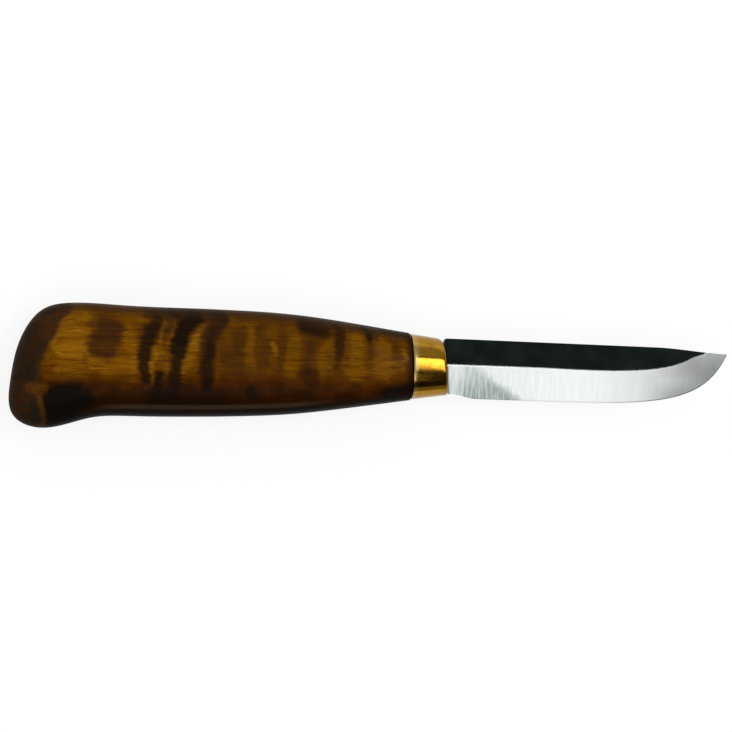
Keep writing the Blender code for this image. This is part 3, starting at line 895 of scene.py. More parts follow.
paper = bpy.data.materials.new("white_paper")
paper.use_nodes = True
tree = paper.node_tree
tree.nodes.clear()
seen = seen_ray(tree)
paper_fibres = place(tree, "ShaderNodeTexNoise", PAPER_FIBRES).outputs[0]
gathered = times(tree, ramp(tree, paper_fibres, *PAPER_RAMP), FLOOR_GREY)
lit = place(tree, "ShaderNodeBsdfDiffuse", {"Color": mix(tree, seen, gathered, SHADOW_SHARE)})
shown = place(tree, "ShaderNodeEmission", {"Strength": times(tree, seen, 1 - SHADOW_SHARE)})
both = place(tree, "ShaderNodeAddShader", {0: lit.outputs[0], 1: shown.outputs[0]})
place(tree, "ShaderNodeOutputMaterial", {"Surface": both.outputs[0]})
floor_mesh.materials.append(paper)
print("floor reach in metres:", FLOOR_REACH)

# %% [markdown]
# The room is white all round and dark above, so that only the lamps show in the blade. It also gives
# a soft general light, stronger from the spine's side than from the edge's.

# %% Build the room
HORIZON = 0.75
CEILING = 0.035
CEILING_RAMP = (0.27, 0.42, HORIZON, CEILING)
SHOWN_SLOPE = 0.6
AMBIENT_RAMP = (0.0, 1.0, 0.25, 0.8)
AMBIENT_SLOPE = 0.15
WHITE = (1.0, 1.0, 1.0, 1.0)

world = bpy.data.worlds.new("white_room")
bpy.context.scene.world = world
world.use_nodes = True
tree = world.node_tree
tree.nodes.clear()
parts = axes(tree, place(tree, "ShaderNodeTexCoord").outputs["Generated"])
shown_slope = add_part(tree, parts["Y"], SHOWN_SLOPE, 1.0)
shown_room = times(tree, ramp(tree, parts["Z"], *CEILING_RAMP), shown_slope)
light_slope = times(tree, parts["Y"], AMBIENT_SLOPE)
light_room = calc(tree, "ADD", light_slope, ramp(tree, parts["Z"], *AMBIENT_RAMP))
room = mix(tree, seen_ray(tree), light_room, shown_room)
background = place(tree, "ShaderNodeBackground", {"Color": WHITE, "Strength": room})
place(tree, "ShaderNodeOutputWorld", {"Surface": background.outputs[0]})
print("room nodes:", len(tree.nodes))

# %% [markdown]
# Three softboxes do the rest. Where each one stands follows from what should mirror it: a surface
# that leans by some angle mirrors what leans by twice that angle. An area lamp's brightness is its
# power divided by pi and its area, so its power is worked out from the brightness that is wanted.

# %% Hang the softboxes
LAMP_DISTANCE = 1.0
SOFTBOXES = (
    # name, lean towards the tip and the spine, width and depth (degrees), brightness
    ("ferrule_softbox", 27.0, 9.5, 22.0, 16.0, 6.1),
    ("blade_softbox", -5.0, -24.0, 40.0, 26.0, 1.9),
    ("spine_side_panel", 0.0, 46.0, 80.0, 44.0, 0.5),
)


def softbox(name, tip_lean, spine_lean, width_angle, depth_angle, brightness):
    """An area lamp that faces the ferrule from a direction that leans from straight above it."""
    leans = (math.tan(math.radians(tip_lean)), math.tan(math.radians(spine_lean)), 1.0)
    away = Vector(leans).normalized()
    across = (Vector((1, 0, 0)) - away * away.x).normalized()
    lamp_data = bpy.data.lights.new(name, "AREA")
    lamp_data.shape = "RECTANGLE"
    lamp_data.size = 2 * LAMP_DISTANCE * math.tan(math.radians(width_angle / 2))
    lamp_data.size_y = 2 * LAMP_DISTANCE * math.tan(math.radians(depth_angle / 2))
    lamp_data.energy = brightness * math.pi * lamp_data.size * lamp_data.size_y
    lamp = bpy.data.objects.new(name, lamp_data)
    bpy.context.scene.collection.objects.link(lamp)
    turn = Matrix((across, away.cross(across), away)).transposed().to_4x4()
    lamp.matrix_world = Matrix.Translation(knife_place + away * LAMP_DISTANCE) @ turn
    print(f"{name}: {lamp_data.energy:.2f} W")


for row in SOFTBOXES:
    softbox(*row)

# %% [markdown]
# ## Tools for the finishes
#
# Colours below are written as they look on a screen, from 0 to 255, and turned into the linear
# values that Blender mixes. Brass and steel are the exception: a metal's colour is the share of light
# that it mirrors, so it is written as that. Every finish works in the knife's own millimetres: the
# pieces have their origin on the tang's axis, so object coordinates only need a change of unit.

# %% Colours, coordinates and new materials
def paint(red, green, blue):
    """A screen colour as linear RGBA, by the sRGB rule."""
    linear = []
    for level in (red, green, blue):
        share = level / 255
        linear.append(share / 12.92 if share < 0.04045 else ((share + 0.055) / 1.055) ** 2.4)
    return (*linear, 1.0)


def tint(tree, share, first, second):
    """Mixes two colours, which are inputs 6 and 7 of a Mix node and leave it by output 2."""
    node = place(tree, "ShaderNodeMix", {0: share, 6: first, 7: second}, data_type="RGBA")
    return node.outputs[2]


def lay_coats(tree, colour, coats):
    """Lays more colours over a first one, in their order, each with its own share."""
    for share, coat in coats:
        colour = tint(tree, share, colour, coat)
    return colour


def millimetres(tree):
    """The point on the surface, in the knife's millimetres."""
    point = place(tree, "ShaderNodeTexCoord").outputs["Object"]
    node = place(tree, "ShaderNodeVectorMath", {0: point, "Scale": 1 / MM}, operation="SCALE")
    return node.outputs[0]


def flat_point(tree, x, y):
    """A point in the plane of the side view."""
    return place(tree, "ShaderNodeCombineXYZ", {"X": x, "Y": y}).outputs[0]


def new_finish(name):
    """A new material, its node tree and its shader."""
    material = bpy.data.materials.new(name)
    material.use_nodes = True
    return material, material.node_tree, material.node_tree.nodes["Principled BSDF"]


def connect(tree, shader, **sockets):
    """Links what changes over the surface to the shader."""
    for name, socket in sockets.items():
        tree.links.new(socket, shader.inputs[name.replace("_", " ")])


def relief(tree, shader, height, depth, strength):
    """Gives the surface fine relief of so many millimetres."""
    inputs = {"Strength": strength, "Distance": depth * MM, "Height": height}
    connect(tree, shader, Normal=place(tree, "ShaderNodeBump", inputs).outputs[0])


print("a screen's middle grey in linear light:", paint(128, 128, 128)[0])

# %% [markdown]
# Some effects come back in several finishes. Each is built once as a node group, and only its numbers
# differ from one material to the next. The first two are cloudy patches, for tarnish and stains, and
# drawn-out lines, for wood fibres, file marks and grinding marks. Both are a noise texture: the lines
# come from stretching it, with few lines per millimetre along them and many across.

# %% Group the clouds and the lines
CLOUD_NOISE = {"Detail": 3.0, "Roughness": 0.55}
CLOUD_RAMP = (0.28, 0.72)
LINE_NOISE = {"Scale": 1.0, "Detail": 2.0, "Roughness": 0.6}


def new_group(name, inputs, outputs):
    """An empty shader group with named sockets; gives its tree, its inputs and its output node."""
    group = bpy.data.node_groups.new(name, "ShaderNodeTree")
    for direction, sockets in (("INPUT", inputs), ("OUTPUT", outputs)):
        for socket, kind in sockets.items():
            group.interface.new_socket(socket, in_out=direction, socket_type="NodeSocket" + kind)
    entry = group.nodes.new("NodeGroupInput")
    return group, entry.outputs, group.nodes.new("NodeGroupOutput")


def use(tree, group, inputs):
    """Places a node group and gives its first output."""
    return place(tree, "ShaderNodeGroup", inputs, node_tree=group).outputs[0]


def clouds_group():
    inputs = {"Point": "Vector", "Size": "Float"}
    tree, given, result = new_group("soft_clouds", inputs, {"Clouds": "Float"})
    scale = calc(tree, "DIVIDE", 1.0, given["Size"])
    soft = {"Vector": given["Point"], "Scale": scale, **CLOUD_NOISE}
    cloud = place(tree, "ShaderNodeTexNoise", soft).outputs[0]
    tree.links.new(ramp(tree, cloud, *CLOUD_RAMP), result.inputs[0])
    return tree


def lines_group():
    inputs = {"Point": "Vector", "Lines per mm": "Vector", "Low": "Float", "High": "Float"}
    tree, given, result = new_group("drawn_lines", inputs, {"Lines": "Float"})
    stretch = {0: given["Point"], 1: given["Lines per mm"]}
    drawn = place(tree, "ShaderNodeVectorMath", stretch, operation="MULTIPLY").outputs[0]
    line = place(tree, "ShaderNodeTexNoise", {"Vector": drawn, **LINE_NOISE}).outputs[0]
    tree.links.new(ramp(tree, line, given["Low"], given["High"]), result.inputs[0])
    return tree


soft_clouds = clouds_group()
drawn_lines = lines_group()


def draw_clouds(tree, point, size):
    return use(tree, soft_clouds, {"Point": point, "Size": size})


def draw_lines(tree, point, lines_per_mm, low, high):
    inputs = {"Point": point, "Lines per mm": lines_per_mm, "Low": low, "High": high}
    return use(tree, drawn_lines, inputs)


print("node groups:", [group.name for group in bpy.data.node_groups])

# %% [markdown]
# The other two are small pits, as a casting or cured resin has, and a border that is worn ragged. The
# pits sit in the cells of a Voronoi texture. A cell's own random colour sets its pit's size, and many
# cells stay empty, so the pits never look like a grid. The border takes a distance that the material
# knows, such as that from a rim, and lets a noise texture swing it to and fro.

# %% Group the pits and the worn border
PIT_CHANCE_RAMP = (0.35, 1.0)
PIT_WALL_RAMP = (1.0, 0.4)
NO_PIT = 0.001  # keeps the division from failing in an empty cell
NOISE_MIDDLE = 0.5  # a noise texture's middle level
WORN_NOISE = {"Scale": 3.1, "Detail": 3.0, "Roughness": 0.7}
WORN_RAMP = (1.0, 0.3)


def pits_group():
    inputs = {"Point": "Vector", "Spacing": "Float", "Radius": "Float"}
    tree, given, result = new_group("small_pits", inputs, {"Pits": "Float"})
    scale = calc(tree, "DIVIDE", 1.0, given["Spacing"])
    cells = {"Vector": given["Point"], "Scale": scale, "Randomness": 1.0}
    cell = place(tree, "ShaderNodeTexVoronoi", cells)
    away = times(tree, cell.outputs["Distance"], given["Spacing"])
    chance = axes(tree, cell.outputs["Color"])["X"]
    size = times(tree, given["Radius"], ramp(tree, chance, *PIT_CHANCE_RAMP))
    share = calc(tree, "DIVIDE", away, calc(tree, "ADD", size, NO_PIT))
    tree.links.new(ramp(tree, share, *PIT_WALL_RAMP), result.inputs[0])
    return tree


def worn_group():
    inputs = {"Point": "Vector", "Distance": "Float", "Width": "Float", "Ragged": "Float"}
    tree, given, result = new_group("worn_border", inputs, {"Worn": "Float"})
    rough = place(tree, "ShaderNodeTexNoise", {"Vector": given["Point"], **WORN_NOISE}).outputs[0]
    swing = times(tree, calc(tree, "SUBTRACT", rough, NOISE_MIDDLE), given["Ragged"])
    away = calc(tree, "ADD", calc(tree, "ABSOLUTE", given["Distance"]), swing)
    share = calc(tree, "DIVIDE", away, given["Width"])
    tree.links.new(ramp(tree, share, *WORN_RAMP), result.inputs[0])
    return tree


small_pits = pits_group()
worn_border = worn_group()
print("node groups:", [group.name for group in bpy.data.node_groups])

# %% [markdown]
# ## Curly birch
#
# The handle is birch whose grain curls: dark flames cross the fibres from the back down to the belly,
# with amber between them, and oil brings the contrast out. A plain wave texture gives even stripes,
# which no real block has. Here the figure is drawn stroke by stroke, as a decorator paints one: each
# stroke has two ends, two half widths and a strength. The stroke itself is a node group that measures
# how far a point lies from the line between the ends.

# %% Build the flame stroke
STROKE_RAMP = (1.45, 0.45)  # a stroke's soft border, in half widths from its middle


def stroke_group():
    inputs = {
        "Figure": "Float",
        "Point": "Vector",
        "Start": "Vector",
        "End": "Vector",
        "Start width": "Float",
        "End width": "Float",
        "Strength": "Float",
    }
    tree, given, result = new_group("flame_stroke", inputs, {"Figure": "Float"})

    def vector(operation, first, second, output=0):
        node = place(tree, "ShaderNodeVectorMath", {0: first, 1: second}, operation=operation)
        return node.outputs[output]

    out = vector("SUBTRACT", given["Point"], given["Start"])
    run = vector("SUBTRACT", given["End"], given["Start"])
    along = vector("DOT_PRODUCT", out, run, "Value")
    length = vector("DOT_PRODUCT", run, run, "Value")
    share = place(tree, "ShaderNodeClamp", {0: calc(tree, "DIVIDE", along, length)}).outputs[0]
    foot = place(tree, "ShaderNodeVectorMath", {0: run, "Scale": share}, operation="SCALE")
    away = vector("DISTANCE", out, foot.outputs[0], "Value")
    width = mix(tree, share, given["Start width"], given["End width"])
    mask = ramp(tree, calc(tree, "DIVIDE", away, width), *STROKE_RAMP, 0.0, given["Strength"])
    tree.links.new(calc(tree, "MAXIMUM", given["Figure"], mask), result.inputs[0])
    return tree


flame_stroke = stroke_group()


def lay_strokes(tree, point, strokes):
    """Lays strokes over each other, the strongest on top."""
    figure = 0.0
    for start, end, start_width, end_width, strength in strokes:
        inputs = {
            "Figure": figure,
            "Point": point,
            "Start": (*start, 0.0),
            "End": (*end, 0.0),
            "Start width": start_width,
            "End width": end_width,
            "Strength": strength,
        }
        figure = use(tree, flame_stroke, inputs)
    return figure


print("stroke nodes:", len(flame_stroke.nodes))

# %% [markdown]
# The strokes are written as (start, end, half width at the start, half width at the end, strength),
# on the handle's upper side. The dark flames come first, then the brown shadows between them, and
# last the honey-coloured places where the fibres turn towards the eye, with a few thin bright lines.
# The butt's end grain has a little figure of its own.

# %% Write down the figure
DARK_FLAMES = (
    ((-79.3, 10.1), (-80.6, 8.4), 1.4, 1.9, 0.62),
    ((-80.6, 8.4), (-81.8, 6.8), 1.9, 2.4, 0.87),
    ((-81.8, 6.8), (-82.7, 3.5), 2.5, 2.3, 0.87),
    ((-82.7, 3.5), (-83.2, -1.3), 2.2, 1.9, 0.87),
    ((-83.2, -1.3), (-82.7, -6.2), 1.9, 1.5, 0.84),
    ((-78.9, -4.8), (-79.2, -12.3), 1.1, 1.7, 0.85),
    ((-74.0, 11.8), (-68.0, 11.5), 1.5, 1.7, 0.70),
    ((-69.2, 11.0), (-71.9, 7.9), 2.9, 2.8, 0.95),
    ((-71.9, 7.9), (-73.5, 4.4), 2.8, 2.5, 0.95),
    ((-73.5, 4.4), (-74.2, 1.0), 2.4, 2.0, 0.90),
    ((-74.2, 1.0), (-74.5, -3.0), 1.9, 1.8, 0.82),
    ((-74.5, -3.0), (-74.8, -10.0), 1.8, 2.2, 0.80),
    ((-105.9, -10.7), (-101.5, -10.3), 2.7, 2.9, 1.00),
    ((-107.4, -13.6), (-100.4, -12.6), 2.9, 3.3, 1.00),
    ((-108.2, -16.8), (-101.0, -15.5), 2.8, 2.8, 1.00),
    ((-98.4, -10.8), (-97.4, -13.4), 2.2, 2.0, 0.80),
    ((-65.3, 11.7), (-61.4, 10.9), 1.9, 1.8, 0.50),
    ((-63.6, 8.6), (-65.0, 4.0), 1.7, 1.8, 0.42),
    ((-65.1, 3.6), (-66.3, -1.5), 1.6, 1.9, 0.70),
    ((-66.3, -1.5), (-66.0, -6.1), 1.9, 2.0, 0.70),
    ((-65.9, -6.1), (-65.9, -7.8), 2.0, 1.9, 0.85),
    ((-79.6, -9.6), (-74.1, -11.0), 2.4, 2.4, 0.65),
    ((-71.4, -10.9), (-63.7, -11.2), 1.9, 1.9, 0.50),
    ((-53.7, -8.4), (-53.5, -9.2), 1.9, 1.8, 0.70),
    ((-62.0, -10.6), (-61.7, -11.4), 1.7, 1.7, 0.55),
    ((-39.2, 9.7), (-34.5, 8.5), 2.2, 2.6, 0.78),
    ((-30.2, 9.4), (-30.3, 3.0), 1.4, 1.4, 0.65),
    ((-30.3, 3.0), (-31.0, -1.1), 1.2, 0.8, 0.40),
    ((-21.8, 9.5), (-21.5, 7.3), 1.4, 1.3, 0.80),
    ((-16.5, 9.2), (-10.5, 8.6), 1.0, 1.3, 0.65),
    ((-37.5, -3.3), (-37.5, -8.1), 2.0, 2.6, 0.45),
    ((-15.8, -7.9), (-9.7, -6.9), 2.2, 2.3, 0.90),
)
BROWN_SHADOWS = (
    ((-97.2, 8.5), (-90.3, 7.9), 1.6, 2.2, 0.55),
    ((-80.2, 11.4), (-74.6, 10.4), 2.0, 2.0, 0.75),
    ((-75.2, 12.0), (-77.2, 6.2), 1.6, 0.7, 0.84),
    ((-94.4, 8.0), (-91.1, 7.2), 2.8, 2.8, 0.92),
    ((-95.2, 4.9), (-91.9, 4.2), 2.7, 2.6, 0.92),
    ((-96.0, 2.0), (-93.2, 1.0), 2.6, 2.5, 0.90),
    ((-78.4, 0.4), (-78.8, -4.4), 0.9, 1.2, 0.40),
    ((-62.1, 11.1), (-65.1, 7.2), 2.5, 2.5, 0.85),
    ((-65.1, 7.2), (-66.7, 1.2), 2.5, 2.2, 0.85),
    ((-66.7, 1.2), (-66.5, -5.3), 1.9, 1.9, 0.80),
    ((-56.8, 8.0), (-57.2, 2.2), 1.7, 2.1, 0.65),
    ((-51.7, 8.7), (-51.6, 6.6), 1.2, 1.1, 0.60),
    ((-49.9, 5.2), (-50.3, -1.2), 1.2, 1.5, 0.50),
    ((-45.8, 6.6), (-46.3, -0.6), 1.4, 1.2, 0.55),
    ((-38.0, 4.9), (-37.9, 0.3), 1.5, 1.5, 0.70),
    ((-38.4, -1.1), (-38.0, -7.6), 1.4, 1.9, 0.70),
    ((-22.0, 6.8), (-21.8, 2.5), 0.8, 0.7, 0.55),
    ((-19.4, 8.5), (-19.1, 6.9), 0.8, 0.7, 0.70),
    ((-13.9, 6.8), (-14.4, 3.0), 1.2, 1.1, 0.40),
    ((-60.4, -0.2), (-53.6, -6.4), 2.5, 2.7, 0.60),
    ((-61.8, 3.8), (-59.6, -3.4), 1.8, 2.1, 0.38),
    ((-99.2, 2.5), (-98.1, -6.9), 0.5, 0.8, 0.30),
    ((-87.1, 4.8), (-81.7, 5.5), 0.5, 0.8, 0.30),
    ((-51.0, -6.4), (-40.6, -7.1), 2.5, 2.5, 0.50),
    ((-32.3, -7.9), (-18.4, -6.9), 2.5, 2.2, 0.50),
    ((-106.2, -11.0), (-99.8, -10.2), 3.8, 4.4, 0.70),
    ((-94.7, -9.0), (-83.8, -9.7), 1.9, 2.2, 0.55),
    ((-73.2, -7.1), (-68.7, -9.1), 1.9, 2.2, 0.45),
    ((-51.8, 2.3), (-50.8, -4.2), 1.4, 1.6, 0.35),
    ((-32.8, 2.9), (-32.3, -3.0), 0.8, 0.8, 0.30),
    ((-13.1, -1.8), (-10.4, -5.0), 1.4, 1.6, 0.40),
    ((-54.4, -3.0), (-53.6, -9.0), 1.6, 2.1, 0.55),
    ((-57.4, 9.5), (-58.6, -7.5), 2.0, 2.4, 0.40),
    ((-51.4, 9.3), (-51.0, -6.5), 1.5, 1.9, 0.35),
    ((-46.0, 9.0), (-46.6, -8.0), 1.3, 1.6, 0.38),
    ((-38.0, 9.5), (-38.2, -9.0), 2.3, 2.6, 0.42),
    ((-30.3, 9.5), (-31.1, -7.5), 1.6, 1.4, 0.38),
    ((-21.6, 9.0), (-22.0, -6.0), 1.2, 1.0, 0.35),
    ((-14.2, 8.5), (-14.0, -5.0), 1.5, 1.5, 0.30),
    ((-77.0, 11.0), (-77.3, 8.0), 3.4, 2.8, 0.60),
    ((-77.3, 8.0), (-77.9, 4.4), 2.4, 0.9, 0.35),
    ((-75.6, 1.0), (-75.9, -5.0), 1.4, 1.4, 0.45),
)
HONEY_PLACES = (
    ((-104.3, 1.2), (-100.0, 1.6), 2.7, 2.7, 0.90),
    ((-107.4, 3.3), (-106.6, 0.9), 1.1, 1.1, 0.80),
    ((-104.5, 9.6), (-99.1, 10.6), 1.9, 1.9, 0.55),
    ((-105.3, 5.8), (-99.5, 6.0), 1.6, 1.6, 0.60),
    ((-97.7, -2.6), (-86.9, -2.7), 1.9, 2.2, 0.50),
    ((-87.9, 6.9), (-86.2, 0.2), 1.9, 1.6, 0.42),
    ((-105.7, -3.4), (-99.3, -4.3), 1.9, 2.2, 0.45),
    ((-89.2, 11.2), (-83.8, 10.8), 1.1, 1.1, 0.22),
    ((-67.6, 8.3), (-71.0, 0.6), 1.5, 1.6, 0.65),
    ((-71.2, 0.4), (-72.0, -6.0), 1.5, 0.9, 0.45),
    ((-48.2, 4.4), (-47.6, 2.0), 0.7, 0.7, 0.55),
    ((-44.6, -1.6), (-41.2, -2.4), 0.9, 0.9, 0.35),
    ((-11.9, 4.2), (-11.2, 1.8), 0.6, 0.6, 0.45),
    ((-16.6, 0.4), (-13.2, 0.2), 0.8, 0.8, 0.50),
    ((-79.5, 3.2), (-77.6, -4.0), 1.1, 1.1, 0.35),
    ((-54.2, 5.4), (-54.2, -3.8), 1.4, 1.6, 0.25),
    ((-42.8, 5.5), (-42.6, -2.9), 1.9, 1.9, 0.20),
    ((-33.4, 4.8), (-33.8, -2.5), 1.7, 1.7, 0.28),
    ((-25.6, 6.9), (-25.8, -3.4), 1.7, 2.0, 0.42),
    ((-17.8, 5.3), (-17.7, -3.1), 2.2, 2.5, 0.32),
    ((-28.5, -2.4), (-12.0, -1.3), 1.1, 1.1, 0.30),
    ((-59.0, 10.1), (-54.5, 8.1), 1.4, 1.4, 0.30),
)
HONEY_LINES = (
    ((-80.3, 1.8), (-81.1, -3.0), 0.9, 0.7, 0.65),
    ((-81.1, -3.0), (-80.5, -8.5), 0.6, 0.5, 0.55),
    ((-77.7, 11.1), (-79.2, 4.0), 0.4, 0.5, 0.45),
    ((-74.0, 11.2), (-76.6, 3.5), 0.4, 0.6, 0.35),
    ((-45.5, -0.5), (-11.2, 1.1), 0.3, 0.3, 0.35),
)
BUTT_SHADE = (((-112.6, 4.4), (-114.6, -4.6), 2.4, 2.6, 0.70),)
BUTT_HONEY = (
    ((-112.8, -9.4), (-110.1, -9.7), 1.4, 1.7, 0.50),
    ((-110.5, -10.4), (-109.6, -14.5), 0.9, 0.8, 0.38),
    ((-109.6, -14.5), (-107.8, -18.6), 0.8, 0.7, 0.25),
)
print("strokes:", len(DARK_FLAMES), len(BROWN_SHADOWS), len(HONEY_PLACES), len(HONEY_LINES))

# %% [markdown]
# Before a point is measured against the strokes it is moved a little. A slow wave keeps the strokes
# from looking ruled, and fine lines along the fibres feather the borders of all but the thinnest.
# The flames also slant through the block, so the other side shows the same figure further back, as
# sawn wood does. On the narrow sides it is drawn in towards the middle, so that the flames run on
# round the edges as arcs and not as ruled stripes.

# %% Bend the figure to the grain
FLAME_SLANT = 0.25
SIDE_MIDDLE = 12.0  # depth below the upper side where the figure is drawn in most
SIDE_PULL_RAMP = (0.0, 7.5, 0.4, 1.0)
FEATHER_LINES = ((0.10, 0.7, 0.7), 0.3, 0.7)  # lines per mm on each axis, lowest and highest noise
FEATHER_REACH = 0.6
FINE_FEATHER_LINES = ((0.25, 3.0, 3.0), 0.3, 0.7)
FINE_FEATHER_REACH = 0.3
SLOW_WAVE_SIZE = 7.0
SLOW_WAVE_REACH = 1.3

birch, tree, shader = new_finish("oiled_curly_birch")
spot = millimetres(tree)
parts = axes(tree, spot)
below_top = calc(tree, "SUBTRACT", HANDLE_THICKNESS / 2, parts["Z"])
slant_x = add_part(tree, below_top, FLAME_SLANT, parts["X"])
from_middle = calc(tree, "ABSOLUTE", calc(tree, "SUBTRACT", below_top, SIDE_MIDDLE))
figure_y = times(tree, parts["Y"], ramp(tree, from_middle, *SIDE_PULL_RAMP))


def sway(tree, level, reach, x):
    """Moves x by a texture's level, to both sides alike."""
    return add_part(tree, calc(tree, "SUBTRACT", level, NOISE_MIDDLE), reach, x)


waved_x = sway(tree, draw_clouds(tree, spot, SLOW_WAVE_SIZE), SLOW_WAVE_REACH, slant_x)
moved_x = sway(tree, draw_lines(tree, spot, *FEATHER_LINES), FEATHER_REACH, waved_x)
moved_x = sway(tree, draw_lines(tree, spot, *FINE_FEATHER_LINES), FINE_FEATHER_REACH, moved_x)
waved_point = flat_point(tree, waved_x, figure_y)
figure_point = flat_point(tree, moved_x, figure_y)
dark = lay_strokes(tree, figure_point, DARK_FLAMES)
brown = lay_strokes(tree, figure_point, BROWN_SHADOWS)
honey = lay_strokes(tree, figure_point, HONEY_PLACES)
honey_lines = lay_strokes(tree, waved_point, HONEY_LINES)
butt_shade = lay_strokes(tree, figure_point, BUTT_SHADE)
butt_honey = lay_strokes(tree, waved_point, BUTT_HONEY)
print("birch nodes so far:", len(tree.nodes))

# %% [markdown]
# Under the figure lie the fibres. Wood shows them at several scales at once: bands a millimetre wide
# and a thumb's width long, fibres as thick as a thread, and hair-fine ones between them. They are
# mixed into one level from 0 to 1. Short bright flecks and red streaks are kept apart, to be laid on
# later.

# %% Draw the fibres
FIBRES = ((0.16, 2.6, 2.6), 0.32, 0.68)
FINE_FIBRES = ((0.5, 8.0, 8.0), 0.3, 0.7)
BROAD_FIBRES = ((0.06, 0.8, 0.8), 0.35, 0.65)
FLECKS = ((0.24, 2.8, 0.9), 0.60, 0.74)
RED_STREAKS = ((0.11, 1.3, 1.3), 0.54, 0.68)
PATCH_SIZE = 5.0
FIBRE_PART = 0.3
FINE_PART = 0.25
BROAD_PART = 0.45

fibres = draw_lines(tree, spot, *FIBRES)
fine_fibres = draw_lines(tree, spot, *FINE_FIBRES)
broad_fibres = draw_lines(tree, spot, *BROAD_FIBRES)
flecks = draw_lines(tree, spot, *FLECKS)
streaks = draw_lines(tree, spot, *RED_STREAKS)
patches = draw_clouds(tree, spot, PATCH_SIZE)
fibre_level = times(tree, fibres, FIBRE_PART)
fibre_level = add_part(tree, fine_fibres, FINE_PART, fibre_level)
fibre_level = add_part(tree, broad_fibres, BROAD_PART, fibre_level)
print("birch nodes so far:", len(tree.nodes))

# %% [markdown]
# Colour goes on in coats from light to dark, as stain does. The first is two ambers, mixed by the
# fibres. The front half of the handle is browner than the butt. Honey, red streaks and brown shadows
# follow, and all but the streaks let the fibres show through, because stain sinks in unevenly.

# %% Stain the birch
AMBER = paint(114, 69, 0)
AMBER_SHADE = paint(80, 43, 0)
FRONT_BROWN = paint(80, 46, 0)
FRONT_RAMP = (-84.0, -62.0, 0.0, 0.62)
HONEY = paint(138, 92, 9)
HONEY_BASE = 0.45
HONEY_BY_FIBRES = 0.6
RED_STREAK = paint(66, 29, 0)
STREAK_SHARE = 0.55
SHADOW_BROWN = paint(46, 25, 12)
SHADOW_BY_FIBRES = -0.3

honey_all = calc(tree, "MAXIMUM", honey, honey_lines)
honey_level = add_part(tree, fibre_level, HONEY_BY_FIBRES, HONEY_BASE)
shadow_level = add_part(tree, fibre_level, SHADOW_BY_FIBRES, 1.0)
coats = (
    (ramp(tree, slant_x, *FRONT_RAMP), FRONT_BROWN),
    (times(tree, honey_all, honey_level), HONEY),
    (times(tree, streaks, STREAK_SHARE), RED_STREAK),
    (times(tree, brown, shadow_level), SHADOW_BROWN),
)
colour = lay_coats(tree, tint(tree, fibre_level, AMBER_SHADE, AMBER), coats)
print("birch nodes so far:", len(tree.nodes))

# %% [markdown]
# The lower part of the grip turns away from the light, so it gets painted shade: it is coloured
# darker, first reddish, further down almost black. Patches make that border wander, and it starts
# a little lower at the butt. On the side that faces down the darkening is weaker. The flecks shine
# only where honey shows, and the dark flames go over all of this, in two slates.

# %% Darken the grip and lay on the flames
# painted shade: these colours and ramps darken the grip's lower part and its lower edge
LOW_RAGGED = 3.0
LOW_SHIFT_RAMP = (-88.0, -74.0, 1.3, 0.0)
FACING_UP_RAMP = (-0.4, 0.05, 0.4, 1.0)
WARM_RAMP = (0.0, -4.5, 0.0, 0.7)
LOW_SHADE_BROWN = paint(31, 11, 0)
LOW_RAMP = (-2.3, -9.2, 0.0, 0.88)
EDGE_SHADE_BROWN = paint(25, 13, 4)
EDGE_RAMP = (-9.5, -13.5, 0.0, 0.7)
FLECK = paint(190, 140, 36)
FLECK_SHARE = 0.85
SLATE = paint(19, 11, 7)
GREEN_SLATE = paint(12, 11, 7)

facing = axes(tree, place(tree, "ShaderNodeTexCoord").outputs["Normal"])
facing_up = ramp(tree, facing["Z"], *FACING_UP_RAMP)
low_place = add_part(tree, patches, LOW_RAGGED, parts["Y"])
low_place = calc(tree, "ADD", low_place, ramp(tree, slant_x, *LOW_SHIFT_RAMP))
lit_honey = times(tree, honey, calc(tree, "SUBTRACT", 1.0, brown))
coats = (
    (times(tree, ramp(tree, low_place, *WARM_RAMP), facing_up), RED_STREAK),
    (times(tree, ramp(tree, low_place, *LOW_RAMP), facing_up), LOW_SHADE_BROWN),
    (times(tree, ramp(tree, parts["Y"], *EDGE_RAMP), facing_up), EDGE_SHADE_BROWN),
    (times(tree, flecks, times(tree, lit_honey, FLECK_SHARE)), FLECK),
    (dark, tint(tree, patches, SLATE, GREEN_SLATE)),
)
colour = lay_coats(tree, colour, coats)
print("birch nodes so far:", len(tree.nodes))

# %% [markdown]
# The back and the belly turn away from the eye and from the light, so both get painted shade.
# Between the side and the belly runs a soft corner, painted pale as a painted sheen. Which way
# the surface faces finds all three, whatever the handle's outline does there.

# %% Shade the edges
# painted shade on the back and on the belly
TOP_EDGE_SHADE = paint(42, 30, 15)
TOP_EDGE_RAMP = (0.5, 0.9, 0.0, 0.65)
LOWER_EDGE_SHADE = paint(13, 8, 3)
LOWER_EDGE_RAMP = (-0.74, -0.84, 0.0, 0.92)
# painted sheen on the soft corner between the side and the belly
CORNER_SHEEN = paint(74, 58, 46)
CORNER_FACING = -0.68
CORNER_RAMP = (0.13, 0.02)
CORNER_START_RAMP = (-98.0, -88.0)
CORNER_END_RAMP = (-28.0, -42.0, 0.0, 0.45)

spineward = facing["Y"]
from_corner = calc(tree, "ABSOLUTE", calc(tree, "SUBTRACT", spineward, CORNER_FACING))
corner_start = ramp(tree, parts["X"], *CORNER_START_RAMP)
corner_along = times(tree, corner_start, ramp(tree, parts["X"], *CORNER_END_RAMP))
coats = (
    (times(tree, ramp(tree, spineward, *TOP_EDGE_RAMP), facing_up), TOP_EDGE_SHADE),
    (times(tree, ramp(tree, spineward, *LOWER_EDGE_RAMP), facing_up), LOWER_EDGE_SHADE),
    (times(tree, corner_along, ramp(tree, from_corner, *CORNER_RAMP)), CORNER_SHEEN),
)
colour = lay_coats(tree, colour, coats)
print("birch nodes so far:", len(tree.nodes))
